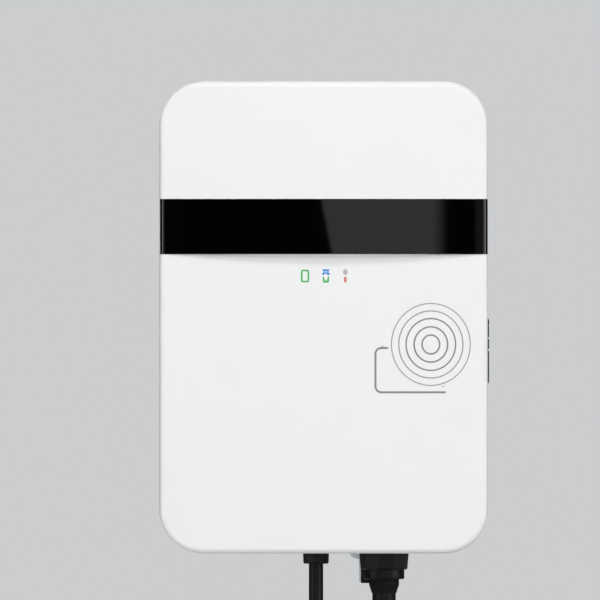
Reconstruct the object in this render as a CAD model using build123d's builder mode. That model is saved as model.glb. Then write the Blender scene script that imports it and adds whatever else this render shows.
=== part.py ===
"""A wall box that charges an electric car, with its two cords and its car plug.

The wall is the plane Y = 0 and the front looks to -Y. +X is to the right as seen
from the front and +Z is up. The origin is the middle of the bracket's back face.
All lengths are in millimetres. A depth is a distance from the wall.
"""

import math
import os

from build123d import *

# Overall size, as seen from the front
body_w = 250.0
body_h = 360.0
corner_r = 33.0

# Depths from the wall
wall_relief = 1.0
housing_back = 8.0
housing_front = 60.0
parting_gap = 0.3
side_depth = 98.0
visor_crown = 10.0
panel_crown = 5.0
edge_r = 4.0

# Walls and clearances
wall = 3.0
fit_gap = 0.15
seat_gap = 0.3
pin_gap = 0.05
housing_step = 0.6
past = 2.0
edge_break = 1.0

# Rim, seal and screws between housing and cover
rim_w = 10.0
groove_w = 4.0
groove_depth = 3.0
groove_inset = 4.0
seal_h = 1.6
tongue_w = 2.0
rim_inset = 1.0
seam_keep = 20.0
web_t = 2.0
boss_r = 5.5
screw_side_inset = 13.0
screw_end_inset = 30.0
screw_mid_z = 40.0
screw_r = 2.0
screw_head_r = 3.8
screw_head_h = 2.6
screw_socket_r = 1.7
screw_socket_depth = 1.5
screw_reach = 14.0
post_r = 4.5

# Black band across the visor
band_bottom = 48.4
band_h = 42.0
lens_t = 2.6
band_wrap = 12.0
shelf_t = 2.5

# Bay in the underside, where the glands sit
bay_left = -26.0
bay_right = 72.0
bay_clearance = 3.3
bay_rise = 13.4

# Wall bracket
plate_w = 130.0
plate_h = 230.0
plate_t = 2.0
wall_hole_dx = 100.0
wall_hole_dz = 200.0
wall_hole_r = 3.0
plate_corner_r = 10.0
plate_slot_w = 35.0
plate_slot_h = 120.0
hook_x = 38.0
hook_w = 30.0
hook_rise = 10.0
hook_reach = 4.0
hook_side_gap = 1.0
catch_h = 10.0
lug_x = 27.0
lug_z = -177.0
lug_r = 8.0
lug_hole_r = 4.4
finger_left = 27.8
finger_w = 6.2
finger_shows = 1.3
finger_bottom = -203.0
wedge_w = 6.9
wedge_t = 3.0
wedge_inset = 4.0
wedge_round = 0.8
wedge_bottom = -203.6

# Window over the breaker, in the right-hand side
window_z = -25.2
window_h = 57.0
window_w = 48.0
window_depth_mid = 32.0
bezel_corner_r = 4.0
bezel_ring = 3.0
bezel_ledge = 3.0
leaf_proud = 1.2
leaf_t = 2.2
hinge_pin_r = 0.75
knuckle_r = 2.6
knuckle_w = 8.0
knuckle_offset = 14.0
leaf_gap = 0.4
bezel_t = 6.0
bezel_pin_wall = 1.0
grip_lines = (-15.8, -24.9)
grip_h = 1.6
grip_depth = 0.9
gasket_w = 1.6
gasket_t = 0.9
gasket_inset = 0.5
opening_r = 2.0
ledge_r = 1.5
leaf_r = 1.2
leaf_neck = 2.0

# Breaker on its rail
breaker_w = 36.0
breaker_h = 85.0
breaker_nose_h = 45.0
breaker_foot = 44.0
breaker_nose = 21.0
claw_t = 1.7
claw_gap = 1.0
nose_setback = 3.0
terminal_r = 2.6
terminal_rise = 18.0
terminal_depth = 6.0
terminal_sink = 2.0
driver_slot_w = 1.0
driver_slot_depth = 1.2
rail_setback = 5.0
bracket_sheet = 2.0
bracket_h = 60.0
bracket_foot = 12.0
sheet_bend_r = 1.5
rail_h = 35.0
rail_rise = 7.5
rail_t = 1.0
rail_lip = 4.0
toggle_drum_r = 7.0
toggle_w = 26.0
toggle_lever_t = 5.0
toggle_reach = 6.0
toggle_rest_angle = 38.0
toggle_sweep_h = 9.0
toggle_proud = 1.0
toggle_room_start = 2.5
toggle_round = 1.2
stub_r = 1.5
stub_l = 2.0
test_w = 5.0
test_z = -38.5
test_travel = 1.5
test_shank = 8.0
test_proud = 2.0

# Boards and what stands on them
board_t = 1.6
main_left_inset = 25.6
main_top_inset = 37.0
main_right_gap = 9.0
main_bottom_gap = 30.0
main_depth = 26.0
board_corner_r = 3.0
standoff_r = 4.0
board_hole_inset = 7.0
board_screw_r = 1.5
board_screw_l = 8.0
relay_w = 30.0
relay_h = 27.0
relay_tall = 25.0
relay_pitch = 34.0
relay_right_inset = 38.0
relay_rise = 10.0
module_r = 1.5
power_w = 52.0
power_h = 34.0
power_tall = 24.0
power_left_inset = 8.0
power_top_inset = 12.0
sensor_r = 14.0
sensor_hole_r = 7.0
sensor_tall = 14.0
sensor_drop = 20.0
sensor_shift = 7.475
capacitor_r = 6.0
capacitor_tall = 20.0
capacitor_pitch = 16.0
capacitor_right_inset = 18.0
header_w = 12.0
header_h = 6.0
header_tall = 7.0
ribbon_w = 10.0
ribbon_t = 0.8
ribbon_right_inset = 11.0
ribbon_drop = 11.0
ribbon_slack = 8.0
block_pitch = 11.0
block_ways = 6
block_h = 30.0
block_tall = 26.0
block_step = 6.0
block_foot = 15.6
block_screw_r = 2.5
block_wire_r = 3.2
block_wire_depth = 8.0
block_rise = 51.6

# Lights, guides and card reader behind the cover
light_z = 31.0
light_places = (-14.3, 1.7, 16.4)
guide_r = 4.0
skin_t = 1.2
light_board_w = 64.0
light_board_h = 24.0
light_board_back = 12.0
reader_side_inset = 47.0
reader_z = -24.0
reader_w = 62.0
reader_h = 66.0
reader_back = 6.0
peg_r = 3.0
peg_inset = 5.0

# Supply gland and lead
gland_depth = 29.0
supply_x = -5.5
supply_d = 11.0
supply_nut_r = 10.15
supply_nut_end_r = 9.75
supply_nut_bottom = -188.5
supply_flange_h = 3.0
supply_thread_r = 8.0
supply_lead_l = 1000.0
supply_coil_d = 121.0
supply_coil_z = -292.0
core_d = 3.2
core_l = 42.0
core_spread = 5.0
ferrule_l = 12.0
ferrule_collar_l = 4.8
ferrule_wall = 0.2
ferrule_r = 1.1
core_ring = 0.3
core_angles = (90, 210, 330)

# Charging gland and cable
charge_x = 46.6
charge_d = 18.0
charge_core_d = 4.6
charge_nut_r = 19.7
charge_nut_end_r = 17.9
charge_nut_bottom = -193.0
charge_flange_h = 5.0
charge_thread_r = 15.0
collar_r = 15.55
collar_h = 7.3
boot_r = 11.5
boot_end_r = 9.6
boot_h = 10.5
boot_straight = 3.5
boot_waist_r = 10.5
boot_waist_drop = 7.2
boot_taper = 0.25
nut_sides = 10
nut_floor = 3.0
nut_round = 1.2
nut_turn = 4.6
flange_lip = 0.6
thread_step = 1.0
thread_shows = 2.0
locknut_ratio = 1.32
cord_shows = 8.0
gland_seal_h = 5.0
gland_wall = 1.5
locknut_h = 5.0
charge_cable_l = 5000.0
charge_coil_z = -362.0
coil_inner_r = 99.0
coil_planes = 4
inner_turns = 4
outer_turns = 3

# Straps round the coils
bundle_round = 0.3
supply_tie_angles = (95, 235)
charge_strap_angles = (80, 325, 232)
strap_w = 20.0
strap_t = 1.5
tie_w = 4.0
tie_t = 1.2

# Car plug
plug_grip_l = 150.0
plug_grip_r = 17.5
plug_belly_r = 21.0
plug_waist_drop = 45.0
plug_belly_drop = 105.0
plug_belly_bulge = 5.0
plug_flange_r = 34.0
plug_flange_l = 12.0
plug_wall = 2.5
plug_nut_gap = 1.0
flange_chamfer = 1.5
flange_inset = 2.0
plug_post_r = 4.0
plug_screw_r = 1.5
plug_screw_l = 25.0
plug_head_h = 2.0
plug_head_sink = 6.0
plug_screw_places = (63.0, 108.0)
plug_nut_r = 16.5
plug_nut_l = 26.0
plug_nut_shows = 15.6
plug_nut_lip = 3.5
plug_cord_inside = 8.0
nose_r = 28.0
nose_l = 46.0
nose_wall = 2.5
nose_flat = 21.5
carrier_r = 21.0
carrier_flat = 15.0
carrier_recess = 7.0
pin_ring = ((-6.6, 10.6, 2.4), (6.6, 10.6, 2.4), (-14.0, 0.0, 3.4), (0.0, 0.0, 3.4),
            (14.0, 0.0, 3.4), (-7.4, -11.8, 3.4), (7.4, -11.8, 3.4))
sleeve_wall = 0.8
sleeve_setback = 3.0

# Places worked out from the values above
half_w = body_w / 2
half_h = body_h / 2
housing_half_w = half_w + housing_step
cover_back = housing_front + parting_gap
band_top = band_bottom + band_h
panel_depth = side_depth + panel_crown
inner_back = housing_back + wall
bay_top = -half_h + bay_rise
bay_depth = gland_depth + charge_nut_r + bay_clearance
bay_roof = bay_top + wall
leaf_out = housing_half_w + leaf_proud
leaf_in = leaf_out - leaf_t


def at_depth(depth):
    """The plane parallel to the wall at this depth, looking to the front."""
    return Plane.XZ.offset(depth)


def at_height(z):
    """The level plane at this height."""
    return Plane.XY.offset(z)


def at_side(x):
    """The upright plane across the wall at this X, looking to the right."""
    return Plane.YZ.offset(x)


def save(part, name):
    """Name a finished piece and write it to its own file."""
    part.label = name
    export_step(part, f"parts/{name}.step")


os.makedirs("parts", exist_ok=True)


def front_form(crown, inset, z_low, z_high, back=cover_back):
    """The cover's outer form between two heights, set in by one distance all round.

    Its face is an arc in plan that stands forward by the crown at the middle.
    """
    half = half_w - inset
    face = side_depth - inset
    with BuildPart() as form:
        with BuildSketch(at_depth(back)):
            RectangleRounded(2 * half, body_h - 2 * inset, corner_r - inset)
        extrude(amount=side_depth + crown)
        with BuildSketch(at_height(z_low)):
            with BuildLine():
                Polyline((-half, -face), (-half, -back), (half, -back), (half, -face))
                ThreePointArc((half, -face), (0, -face - crown), (-half, -face))
            make_face()
        extrude(amount=z_high - z_low, mode=Mode.INTERSECT)
        face_edges = form.faces().sort_by(Axis.Y)[0].edges()
        front_edges = face_edges.filter_by(lambda e: abs(e.center().Z - band_bottom) > seam_keep)
        fillet(front_edges, max(edge_r - inset, 1.0))
    return form.part


def outline_ring(outer_inset, width, depth, height, form_half_w):
    """A flat ring that follows the box's outline, for rims, grooves and the seal."""
    with BuildPart() as ring:
        with BuildSketch(at_depth(depth)):
            for inset, mode in ((outer_inset, Mode.ADD), (outer_inset + width, Mode.SUBTRACT)):
                RectangleRounded(2 * (form_half_w - inset), 2 * (half_h - inset),
                                 corner_r - inset, mode=mode)
        extrude(amount=height)
    return ring.part


# Front cover: a visor over a flatter lower panel, moulded in one piece
seam = band_bottom
band_room = lens_t + fit_gap
lens_wrap_depth = side_depth - band_wrap
tongue_inset = groove_inset + (groove_w - tongue_w) / 2
tongue_tip = housing_front - groove_depth + seal_h
light_board_depth = panel_depth - wall - light_board_back
reader_depth = side_depth - wall - reader_back
screw_x = half_w - screw_side_inset
screw_end_z = half_h - screw_end_inset
screw_zs = (screw_end_z, screw_mid_z, -screw_end_z)
screw_places = [(x, z) for x in (-screw_x, screw_x) for z in screw_zs]
light_points = [(x, light_z) for x in light_places]
light_peg_x = light_board_w / 2 - peg_inset
light_pegs = [(-light_peg_x, light_z), (light_peg_x, light_z)]
reader_x = half_w - reader_side_inset

visor = front_form(visor_crown, 0, seam, half_h + past)
panel = front_form(panel_crown, 0, -half_h - past, seam)
visor_room = front_form(visor_crown, wall, band_top + wall, half_h)
band_backing = front_form(visor_crown, wall + band_room, seam + shelf_t, band_top + wall)
panel_room = front_form(panel_crown, wall, -half_h, seam + wall)
band_seat = front_form(visor_crown, band_room, seam - past, half_h)
lens_core = front_form(visor_crown, lens_t, seam - past, half_h)

with BuildPart() as band_recess:
    add(visor)
    with BuildSketch(at_depth(lens_wrap_depth - fit_gap)):
        with Locations((0, seam + band_h / 2)):
            Rectangle(2 * body_w, band_h + 2 * fit_gap)
    extrude(amount=body_w, mode=Mode.INTERSECT)
    add(band_seat, mode=Mode.SUBTRACT)

with BuildPart() as front_cover:
    add(visor)
    add(panel)
    add(visor_room, mode=Mode.SUBTRACT)
    add(band_backing, mode=Mode.SUBTRACT)
    add(panel_room, mode=Mode.SUBTRACT)
    add(band_recess.part, mode=Mode.SUBTRACT)
    # A tongue round the rim presses on the seal
    add(outline_ring(rim_inset, tongue_inset + tongue_w - rim_inset, cover_back, wall, half_w))
    add(outline_ring(tongue_inset, tongue_w, tongue_tip, cover_back + wall - tongue_tip, housing_half_w))
    # Posts take the screws that come from behind
    with BuildSketch(at_depth(cover_back)):
        with Locations(*screw_places):
            Circle(post_r)
    extrude(until=Until.NEXT)
    with BuildSketch(at_depth(cover_back)):
        with Locations(*screw_places):
            Circle(screw_r)
    extrude(amount=screw_reach + past, mode=Mode.SUBTRACT)
    # Pegs carry the light board and the card reader board
    with BuildSketch(at_depth(light_board_depth)):
        with Locations(*light_pegs):
            Circle(peg_r)
    extrude(until=Until.NEXT)
    with BuildSketch(at_depth(reader_depth)):
        with Locations((reader_x, reader_z)):
            with GridLocations(reader_w - 2 * peg_inset, reader_h - 2 * peg_inset, 2, 2):
                Circle(peg_r)
    extrude(until=Until.NEXT)
    # Thin places in the skin let the three status lights through
    with BuildSketch(at_depth(light_board_depth)):
        with Locations(*light_points):
            Circle(guide_r + fit_gap)
    extrude(amount=panel_depth - skin_t - light_board_depth, mode=Mode.SUBTRACT)
save(front_cover.part, "front_cover")

with BuildPart() as band_lens:
    add(visor)
    with BuildSketch(at_depth(lens_wrap_depth)):
        with Locations((0, seam + band_h / 2)):
            Rectangle(2 * body_w, band_h)
    extrude(amount=body_w, mode=Mode.INTERSECT)
    add(lens_core, mode=Mode.SUBTRACT)
save(band_lens.part, "band_lens")

with BuildPart() as cover_seal:
    add(outline_ring(groove_inset + fit_gap, groove_w - 2 * fit_gap, housing_front - groove_depth,
                     seal_h, housing_half_w))
save(cover_seal.part, "cover_seal")

# Rear housing: a deep tray that hangs on the bracket and holds the works
bay_mid = (bay_left + bay_right) / 2
bay_w = bay_right - bay_left
hook_top = plate_h / 2 + hook_rise
hook_front = plate_t + hook_reach
housing_r = corner_r + housing_step
wedge_left = finger_left + finger_shows


def catch_profile():
    """The hook-shaped lug on the housing's back, as a side view."""
    lip_back = -plate_t - seat_gap
    lip_front = -hook_front + plate_t + seat_gap
    with BuildLine() as line:
        Polyline((-housing_back, hook_top), (-housing_back, hook_top + catch_h),
                 (lip_back, hook_top + catch_h), (lip_back, plate_h / 2 + seat_gap),
                 (lip_front, plate_h / 2 + seat_gap), (lip_front, hook_top), close=True)
    return line.line


with BuildPart() as rear_housing:
    with BuildSketch(at_depth(wall_relief)):
        RectangleRounded(2 * housing_half_w, 2 * half_h, housing_r)
    extrude(amount=housing_front - wall_relief)
    # The room for the works, the opening inside the rim and the room for the bracket
    with BuildSketch(at_depth(inner_back)):
        RectangleRounded(2 * (housing_half_w - wall), 2 * (half_h - wall), housing_r - wall)
    extrude(amount=housing_front - groove_depth - wall - inner_back, mode=Mode.SUBTRACT)
    with BuildSketch(at_depth(inner_back)):
        RectangleRounded(2 * (housing_half_w - rim_w), 2 * (half_h - rim_w), housing_r - rim_w)
    extrude(amount=housing_front, mode=Mode.SUBTRACT)
    with BuildSketch(at_depth(0)):
        RectangleRounded(2 * (housing_half_w - wall), 2 * (half_h - wall), housing_r - wall)
    extrude(amount=housing_back, mode=Mode.SUBTRACT)
    add(outline_ring(groove_inset, groove_w, housing_front - groove_depth, groove_depth + past,
                     housing_half_w), mode=Mode.SUBTRACT)
    # The bay in the underside, with a hole for each gland
    with BuildSketch(at_depth(wall_relief)):
        with Locations((bay_mid, (-half_h + bay_top + wall) / 2)):
            Rectangle(bay_w + 2 * wall, half_h + bay_top + wall)
    extrude(amount=bay_depth + wall - wall_relief)
    with BuildSketch(at_depth(0)):
        with Locations((bay_mid, (-half_h + bay_top - past) / 2)):
            Rectangle(bay_w, half_h + bay_top + past)
    extrude(amount=bay_depth, mode=Mode.SUBTRACT)
    with BuildSketch(at_height(bay_top - past / 2)):
        with Locations((supply_x, -gland_depth)):
            Circle(supply_thread_r + fit_gap)
        with Locations((charge_x, -gland_depth)):
            Circle(charge_thread_r + fit_gap)
    extrude(amount=wall + past, mode=Mode.SUBTRACT)
    slot_left = lug_x - lug_r - seat_gap
    slot_right = wedge_left + wedge_w + seat_gap
    with BuildSketch(at_depth(0)):
        with Locations(((slot_left + slot_right) / 2, bay_top + wall / 2)):
            Rectangle(slot_right - slot_left, wall + past)
    extrude(amount=plate_t + wedge_t + seat_gap, mode=Mode.SUBTRACT)
    # Tubes for the cover screws, open to the back, with a web from each to the side wall
    with BuildSketch(at_depth(housing_back)):
        with Locations(*screw_places):
            Circle(boss_r)
        for side in (-1, 1):
            with Locations(*[(side * (screw_x + housing_half_w) / 2, z) for z in screw_zs]):
                Rectangle(housing_half_w - screw_x, web_t)
    extrude(amount=housing_front - groove_depth - wall - housing_back)
    with BuildSketch(at_depth(housing_back)):
        with Locations(*screw_places):
            Circle(boss_r)
    extrude(amount=housing_front - housing_back)
    with BuildSketch(at_depth(wall_relief)):
        with Locations(*screw_places):
            Circle(screw_r + fit_gap)
    extrude(amount=housing_front, mode=Mode.SUBTRACT)
    with BuildSketch(at_depth(wall_relief)):
        with Locations(*screw_places):
            Circle(screw_head_r + fit_gap)
    extrude(amount=housing_front - wall - wall_relief, mode=Mode.SUBTRACT)
    # Catches that hang on the bracket's two hooks
    for x in (-hook_x, hook_x):
        with BuildSketch(at_side(x - hook_w / 2)):
            add(catch_profile())
            make_face()
        extrude(amount=hook_w)
    # The opening for the window over the breaker
    with BuildSketch(at_side(housing_half_w - rim_w)):
        with Locations((-window_depth_mid, window_z)):
            RectangleRounded(window_w + 2 * fit_gap, window_h + 2 * fit_gap, bezel_corner_r)
    extrude(amount=2 * rim_w, mode=Mode.SUBTRACT)
save(rear_housing.part, "rear_housing")

with BuildPart() as cover_screws:
    head_depth = housing_front - wall - screw_head_h
    for place in screw_places:
        with BuildSketch(at_depth(head_depth)):
            with Locations(place):
                Circle(screw_head_r)
        extrude(amount=screw_head_h)
        with BuildSketch(at_depth(head_depth)):
            with Locations(place):
                Circle(screw_r - pin_gap)
        extrude(amount=screw_head_h + wall + parting_gap + screw_reach)
        with BuildSketch(at_depth(head_depth)):
            with Locations(place):
                RegularPolygon(screw_socket_r, 6)
        extrude(amount=screw_socket_depth, mode=Mode.SUBTRACT)
save(cover_screws.part, "cover_screws")

# Wall bracket: a pressed plate with two hooks, a lock lug and a finger
lug_root = -plate_h / 2 + plate_corner_r
hook_t = plate_t
bracket_hook_w = hook_w - 2 * hook_side_gap
with BuildPart() as wall_bracket:
    with BuildSketch(at_depth(0)):
        RectangleRounded(plate_w, plate_h, plate_corner_r)
        with Locations(((finger_left + finger_w / 2), (finger_bottom + lug_root) / 2)):
            Rectangle(finger_w, lug_root - finger_bottom)
        with BuildLine():
            Polyline((lug_x - lug_r, lug_root), (lug_x - lug_r, lug_z))
            ThreePointArc((lug_x - lug_r, lug_z), (lug_x, lug_z - lug_r), (lug_x + lug_r, lug_z))
            Polyline((lug_x + lug_r, lug_z), (lug_x + lug_r, lug_root), (lug_x - lug_r, lug_root))
        make_face()
        with GridLocations(wall_hole_dx, wall_hole_dz, 2, 2):
            Circle(wall_hole_r, mode=Mode.SUBTRACT)
        with Locations((lug_x, lug_z)):
            Circle(lug_hole_r, mode=Mode.SUBTRACT)
        SlotOverall(plate_slot_h, plate_slot_w, rotation=90, mode=Mode.SUBTRACT)
    extrude(amount=plate_t)
    for x in (-hook_x, hook_x):
        with BuildSketch(at_side(x - bracket_hook_w / 2)):
            with BuildLine():
                Polyline((-plate_t, plate_h / 2 - hook_t), (-hook_front, plate_h / 2 - hook_t),
                         (-hook_front, hook_top), (hook_t - hook_front, hook_top),
                         (hook_t - hook_front, plate_h / 2), (-plate_t, plate_h / 2), close=True)
            make_face()
        extrude(amount=bracket_hook_w)
    # Folded edges stiffen the plate
    for side in (-1, 1):
        with BuildSketch(at_depth(plate_t)):
            with Locations((side * (plate_w - plate_t) / 2, 0)):
                Rectangle(plate_t, plate_h - 2 * plate_corner_r)
        extrude(amount=hook_reach)
save(wall_bracket.part, "wall_bracket")

# Black wedge pushed up between the bracket's finger and the housing
wedge_top = -plate_h / 2 - wedge_inset
with BuildPart() as lock_wedge:
    with BuildSketch(at_depth(plate_t)):
        with BuildLine():
            FilletPolyline((wedge_left, wedge_top), (wedge_left, wedge_bottom),
                           (wedge_left + wedge_w, wedge_bottom),
                           (wedge_left + wedge_w, wedge_top), radius=wedge_round, close=True)
        make_face()
    extrude(amount=wedge_t)
save(lock_wedge.part, "lock_wedge")

# Window in the right-hand side: a bezel, a seal and a leaf that flips up on a pin
leaf_w = window_w - 2 * (bezel_ring + leaf_gap)
leaf_top = window_z + window_h / 2 - bezel_ring - leaf_gap
leaf_bottom = window_z - window_h / 2 + bezel_ring + leaf_gap
hinge_x = leaf_out - knuckle_r
hinge_z = leaf_top - knuckle_r
ledge_x = leaf_in - seat_gap - gasket_t
bezel_in = housing_half_w - bezel_t
opening_top = hinge_z - knuckle_r - leaf_gap - bezel_ledge
opening_bottom = window_z - window_h / 2 + bezel_ring + bezel_ledge
opening_z = (opening_top + opening_bottom) / 2
opening_w = window_w - 2 * (bezel_ring + bezel_ledge)
knuckle_ys = (-window_depth_mid - knuckle_offset, -window_depth_mid + knuckle_offset)

with BuildPart() as window_bezel:
    with BuildSketch(at_side(bezel_in)):
        with Locations((-window_depth_mid, window_z)):
            RectangleRounded(window_w, window_h, bezel_corner_r)
        with Locations((-window_depth_mid, opening_z)):
            RectangleRounded(opening_w, opening_top - opening_bottom, opening_r, mode=Mode.SUBTRACT)
    extrude(amount=bezel_t)
    with BuildSketch(at_side(ledge_x)):
        with Locations((-window_depth_mid, window_z)):
            RectangleRounded(window_w - 2 * bezel_ring, window_h - 2 * bezel_ring, ledge_r)
    extrude(amount=bezel_t, mode=Mode.SUBTRACT)
    with BuildSketch(at_side(hinge_x - knuckle_r - leaf_gap)):
        with Locations((-window_depth_mid, hinge_z)):
            Rectangle(window_w - 2 * bezel_ring, 2 * (knuckle_r + leaf_gap))
    extrude(amount=bezel_t, mode=Mode.SUBTRACT)
    with BuildSketch(at_depth(window_depth_mid - window_w / 2 + bezel_pin_wall)):
        with Locations((hinge_x, hinge_z)):
            Circle(hinge_pin_r + pin_gap)
    extrude(amount=window_w - 2 * bezel_pin_wall, mode=Mode.SUBTRACT)
save(window_bezel.part, "window_bezel")

with BuildPart() as window_hinge_pin:
    with BuildSketch(at_depth(window_depth_mid - window_w / 2 + bezel_pin_wall + fit_gap)):
        with Locations((hinge_x, hinge_z)):
            Circle(hinge_pin_r)
    extrude(amount=window_w - 2 * (bezel_pin_wall + fit_gap))
save(window_hinge_pin.part, "window_hinge_pin")

with BuildPart() as window_gasket:
    with BuildSketch(at_side(ledge_x)):
        with Locations((-window_depth_mid, opening_z)):
            for inset, mode in ((gasket_inset + gasket_w, Mode.ADD), (gasket_inset, Mode.SUBTRACT)):
                RectangleRounded(opening_w + 2 * inset, opening_top - opening_bottom + 2 * inset,
                                 opening_r + inset, mode=mode)
    extrude(amount=gasket_t)
save(window_gasket.part, "window_gasket")

with BuildPart() as window_leaf:
    plate_top = hinge_z - knuckle_r - leaf_gap / 2
    with BuildSketch(at_side(leaf_in)):
        with Locations((-window_depth_mid, (plate_top + leaf_bottom) / 2)):
            RectangleRounded(leaf_w, plate_top - leaf_bottom, leaf_r)
        for y in knuckle_ys:
            with Locations((y, (plate_top - leaf_neck + hinge_z) / 2)):
                Rectangle(knuckle_w, hinge_z - plate_top + leaf_neck)
    extrude(amount=leaf_t)
    for y in knuckle_ys:
        with BuildSketch(at_depth(-y - knuckle_w / 2)):
            with Locations((hinge_x, hinge_z)):
                Circle(knuckle_r)
        extrude(amount=knuckle_w)
    with BuildSketch(at_depth(window_depth_mid - window_w / 2)):
        with Locations((hinge_x, hinge_z)):
            Circle(hinge_pin_r + pin_gap)
    extrude(amount=window_w, mode=Mode.SUBTRACT)
    # Two moulded grip lines run across the leaf
    with BuildSketch(at_side(leaf_out - grip_depth)):
        for z in grip_lines:
            with Locations((-window_depth_mid, z)):
                Rectangle(window_w, grip_h)
    extrude(amount=grip_depth + past, mode=Mode.SUBTRACT)
save(window_leaf.part, "window_leaf")

# Breaker on a short rail, with its toggle and test button behind the window
nose_x = bezel_in - nose_setback
shoulder_x = nose_x - breaker_nose
back_x = shoulder_x - breaker_foot
breaker_near = window_depth_mid - breaker_w / 2
toggle_x = nose_x - toggle_drum_r + toggle_proud
slot_t = rail_t + 2 * fit_gap
toggle_room_x = toggle_x + toggle_room_start

with BuildPart() as breaker_body:
    with BuildSketch(at_depth(breaker_near)):
        with Locations(((back_x + shoulder_x) / 2, window_z)):
            Rectangle(breaker_foot, breaker_h)
        with Locations(((back_x + nose_x) / 2, window_z)):
            Rectangle(nose_x - back_x, breaker_nose_h)
        with Locations((back_x + (claw_t + slot_t) / 2, window_z)):
            Rectangle(claw_t + slot_t, rail_h - 2 * (rail_lip - claw_gap), mode=Mode.SUBTRACT)
        with Locations((back_x + claw_t + slot_t / 2, window_z)):
            Rectangle(slot_t, rail_h + 2 * fit_gap, mode=Mode.SUBTRACT)
    extrude(amount=breaker_w)
    chamfer(breaker_body.edges().filter_by(Axis.Y).group_by(Axis.X)[-1], edge_break)
    with BuildSketch(at_depth(window_depth_mid - toggle_w / 2 - seat_gap)):
        with Locations((toggle_x, window_z)):
            Circle(toggle_drum_r + seat_gap)
        with Locations(((toggle_room_x + nose_x + past) / 2, window_z)):
            Rectangle(nose_x + past - toggle_room_x, 2 * toggle_sweep_h)
    extrude(amount=toggle_w + 2 * seat_gap, mode=Mode.SUBTRACT)
    with BuildSketch(at_depth(window_depth_mid - toggle_w / 2 - stub_l - seat_gap)):
        with Locations((toggle_x, window_z)):
            Circle(stub_r + pin_gap)
    extrude(amount=toggle_w + 2 * (stub_l + seat_gap), mode=Mode.SUBTRACT)
    with BuildSketch(at_side(nose_x)):
        with Locations((-window_depth_mid, test_z)):
            Rectangle(test_w + 2 * seat_gap, test_w + 2 * seat_gap)
    extrude(amount=-test_shank - test_travel - seat_gap, mode=Mode.SUBTRACT)
    with BuildSketch(at_side(shoulder_x)):
        with Locations((-window_depth_mid, window_z)):
            with GridLocations(breaker_w / 2, breaker_nose_h + terminal_rise, 2, 2):
                Circle(terminal_r + fit_gap)
    extrude(amount=-terminal_depth, mode=Mode.SUBTRACT)
save(breaker_body.part, "breaker_body")

with BuildPart() as breaker_terminal_screws:
    with BuildSketch(at_side(shoulder_x - terminal_depth)):
        with Locations((-window_depth_mid, window_z)):
            with GridLocations(breaker_w / 2, breaker_nose_h + terminal_rise, 2, 2):
                Circle(terminal_r)
    extrude(amount=terminal_depth - terminal_sink)
    with BuildSketch(at_side(shoulder_x - terminal_sink)):
        with Locations((-window_depth_mid, window_z)):
            with GridLocations(breaker_w / 2, breaker_nose_h + terminal_rise, 2, 2):
                Rectangle(driver_slot_w, 2 * terminal_r)
    extrude(amount=-driver_slot_depth, mode=Mode.SUBTRACT)
save(breaker_terminal_screws.part, "breaker_terminal_screws")

with BuildPart() as breaker_toggle:
    lever_plane = Plane(origin=(toggle_x, -window_depth_mid + toggle_w / 2, window_z),
                        x_dir=Vector(1, 0, 0).rotate(Axis.Y, -toggle_rest_angle), z_dir=(0, -1, 0))
    with BuildSketch(lever_plane):
        Circle(toggle_drum_r)
        with Locations(((toggle_drum_r + toggle_reach) / 2, 0)):
            RectangleRounded(toggle_drum_r + toggle_reach, toggle_lever_t, toggle_round)
    extrude(amount=toggle_w)
    with BuildSketch(at_depth(window_depth_mid - toggle_w / 2 - stub_l)):
        with Locations((toggle_x, window_z)):
            Circle(stub_r)
    extrude(amount=toggle_w + 2 * stub_l)
save(breaker_toggle.part, "breaker_toggle")

with BuildPart() as breaker_test_button:
    with BuildSketch(at_side(nose_x - test_shank)):
        with Locations((-window_depth_mid, test_z)):
            Rectangle(test_w, test_w)
    extrude(amount=test_shank + test_proud)
    fillet(breaker_test_button.faces().sort_by(Axis.X)[-1].edges(), edge_break / 2)
save(breaker_test_button.part, "breaker_test_button")

rail_near = inner_back
rail_far = housing_front - rail_setback
lip_x = back_x + claw_t + fit_gap
rail_base_x = lip_x + rail_t - rail_rise
with BuildPart() as din_rail:
    with BuildSketch(at_depth(rail_near)):
        with Locations((rail_base_x + rail_t / 2, window_z)):
            Rectangle(rail_t, rail_h - 2 * rail_lip)
        for side in (-1, 1):
            with Locations((rail_base_x + rail_rise / 2,
                            window_z + side * (rail_h / 2 - rail_lip - rail_t / 2))):
                Rectangle(rail_rise, rail_t)
            with Locations((lip_x + rail_t / 2, window_z + side * (rail_h - rail_lip - rail_t) / 2)):
                Rectangle(rail_t, rail_lip + rail_t)
    extrude(amount=rail_far - rail_near)
save(din_rail.part, "din_rail")

with BuildPart() as rail_bracket:
    with BuildSketch(at_depth(inner_back)):
        with Locations((rail_base_x - bracket_sheet / 2, window_z)):
            Rectangle(bracket_sheet, bracket_h)
    extrude(amount=rail_far - rail_near)
    with BuildSketch(at_depth(inner_back)):
        with Locations((rail_base_x - bracket_foot / 2, window_z)):
            Rectangle(bracket_foot, bracket_h)
    extrude(amount=bracket_sheet)
    inner_bend = rail_bracket.edges().filter_by(Axis.Z).sort_by(
        lambda e: (e.center().X - rail_base_x + bracket_sheet) ** 2
        + (e.center().Y + inner_back + bracket_sheet) ** 2)[0]
    fillet(inner_bend, sheet_bend_r)
save(rail_bracket.part, "rail_bracket")

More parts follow.
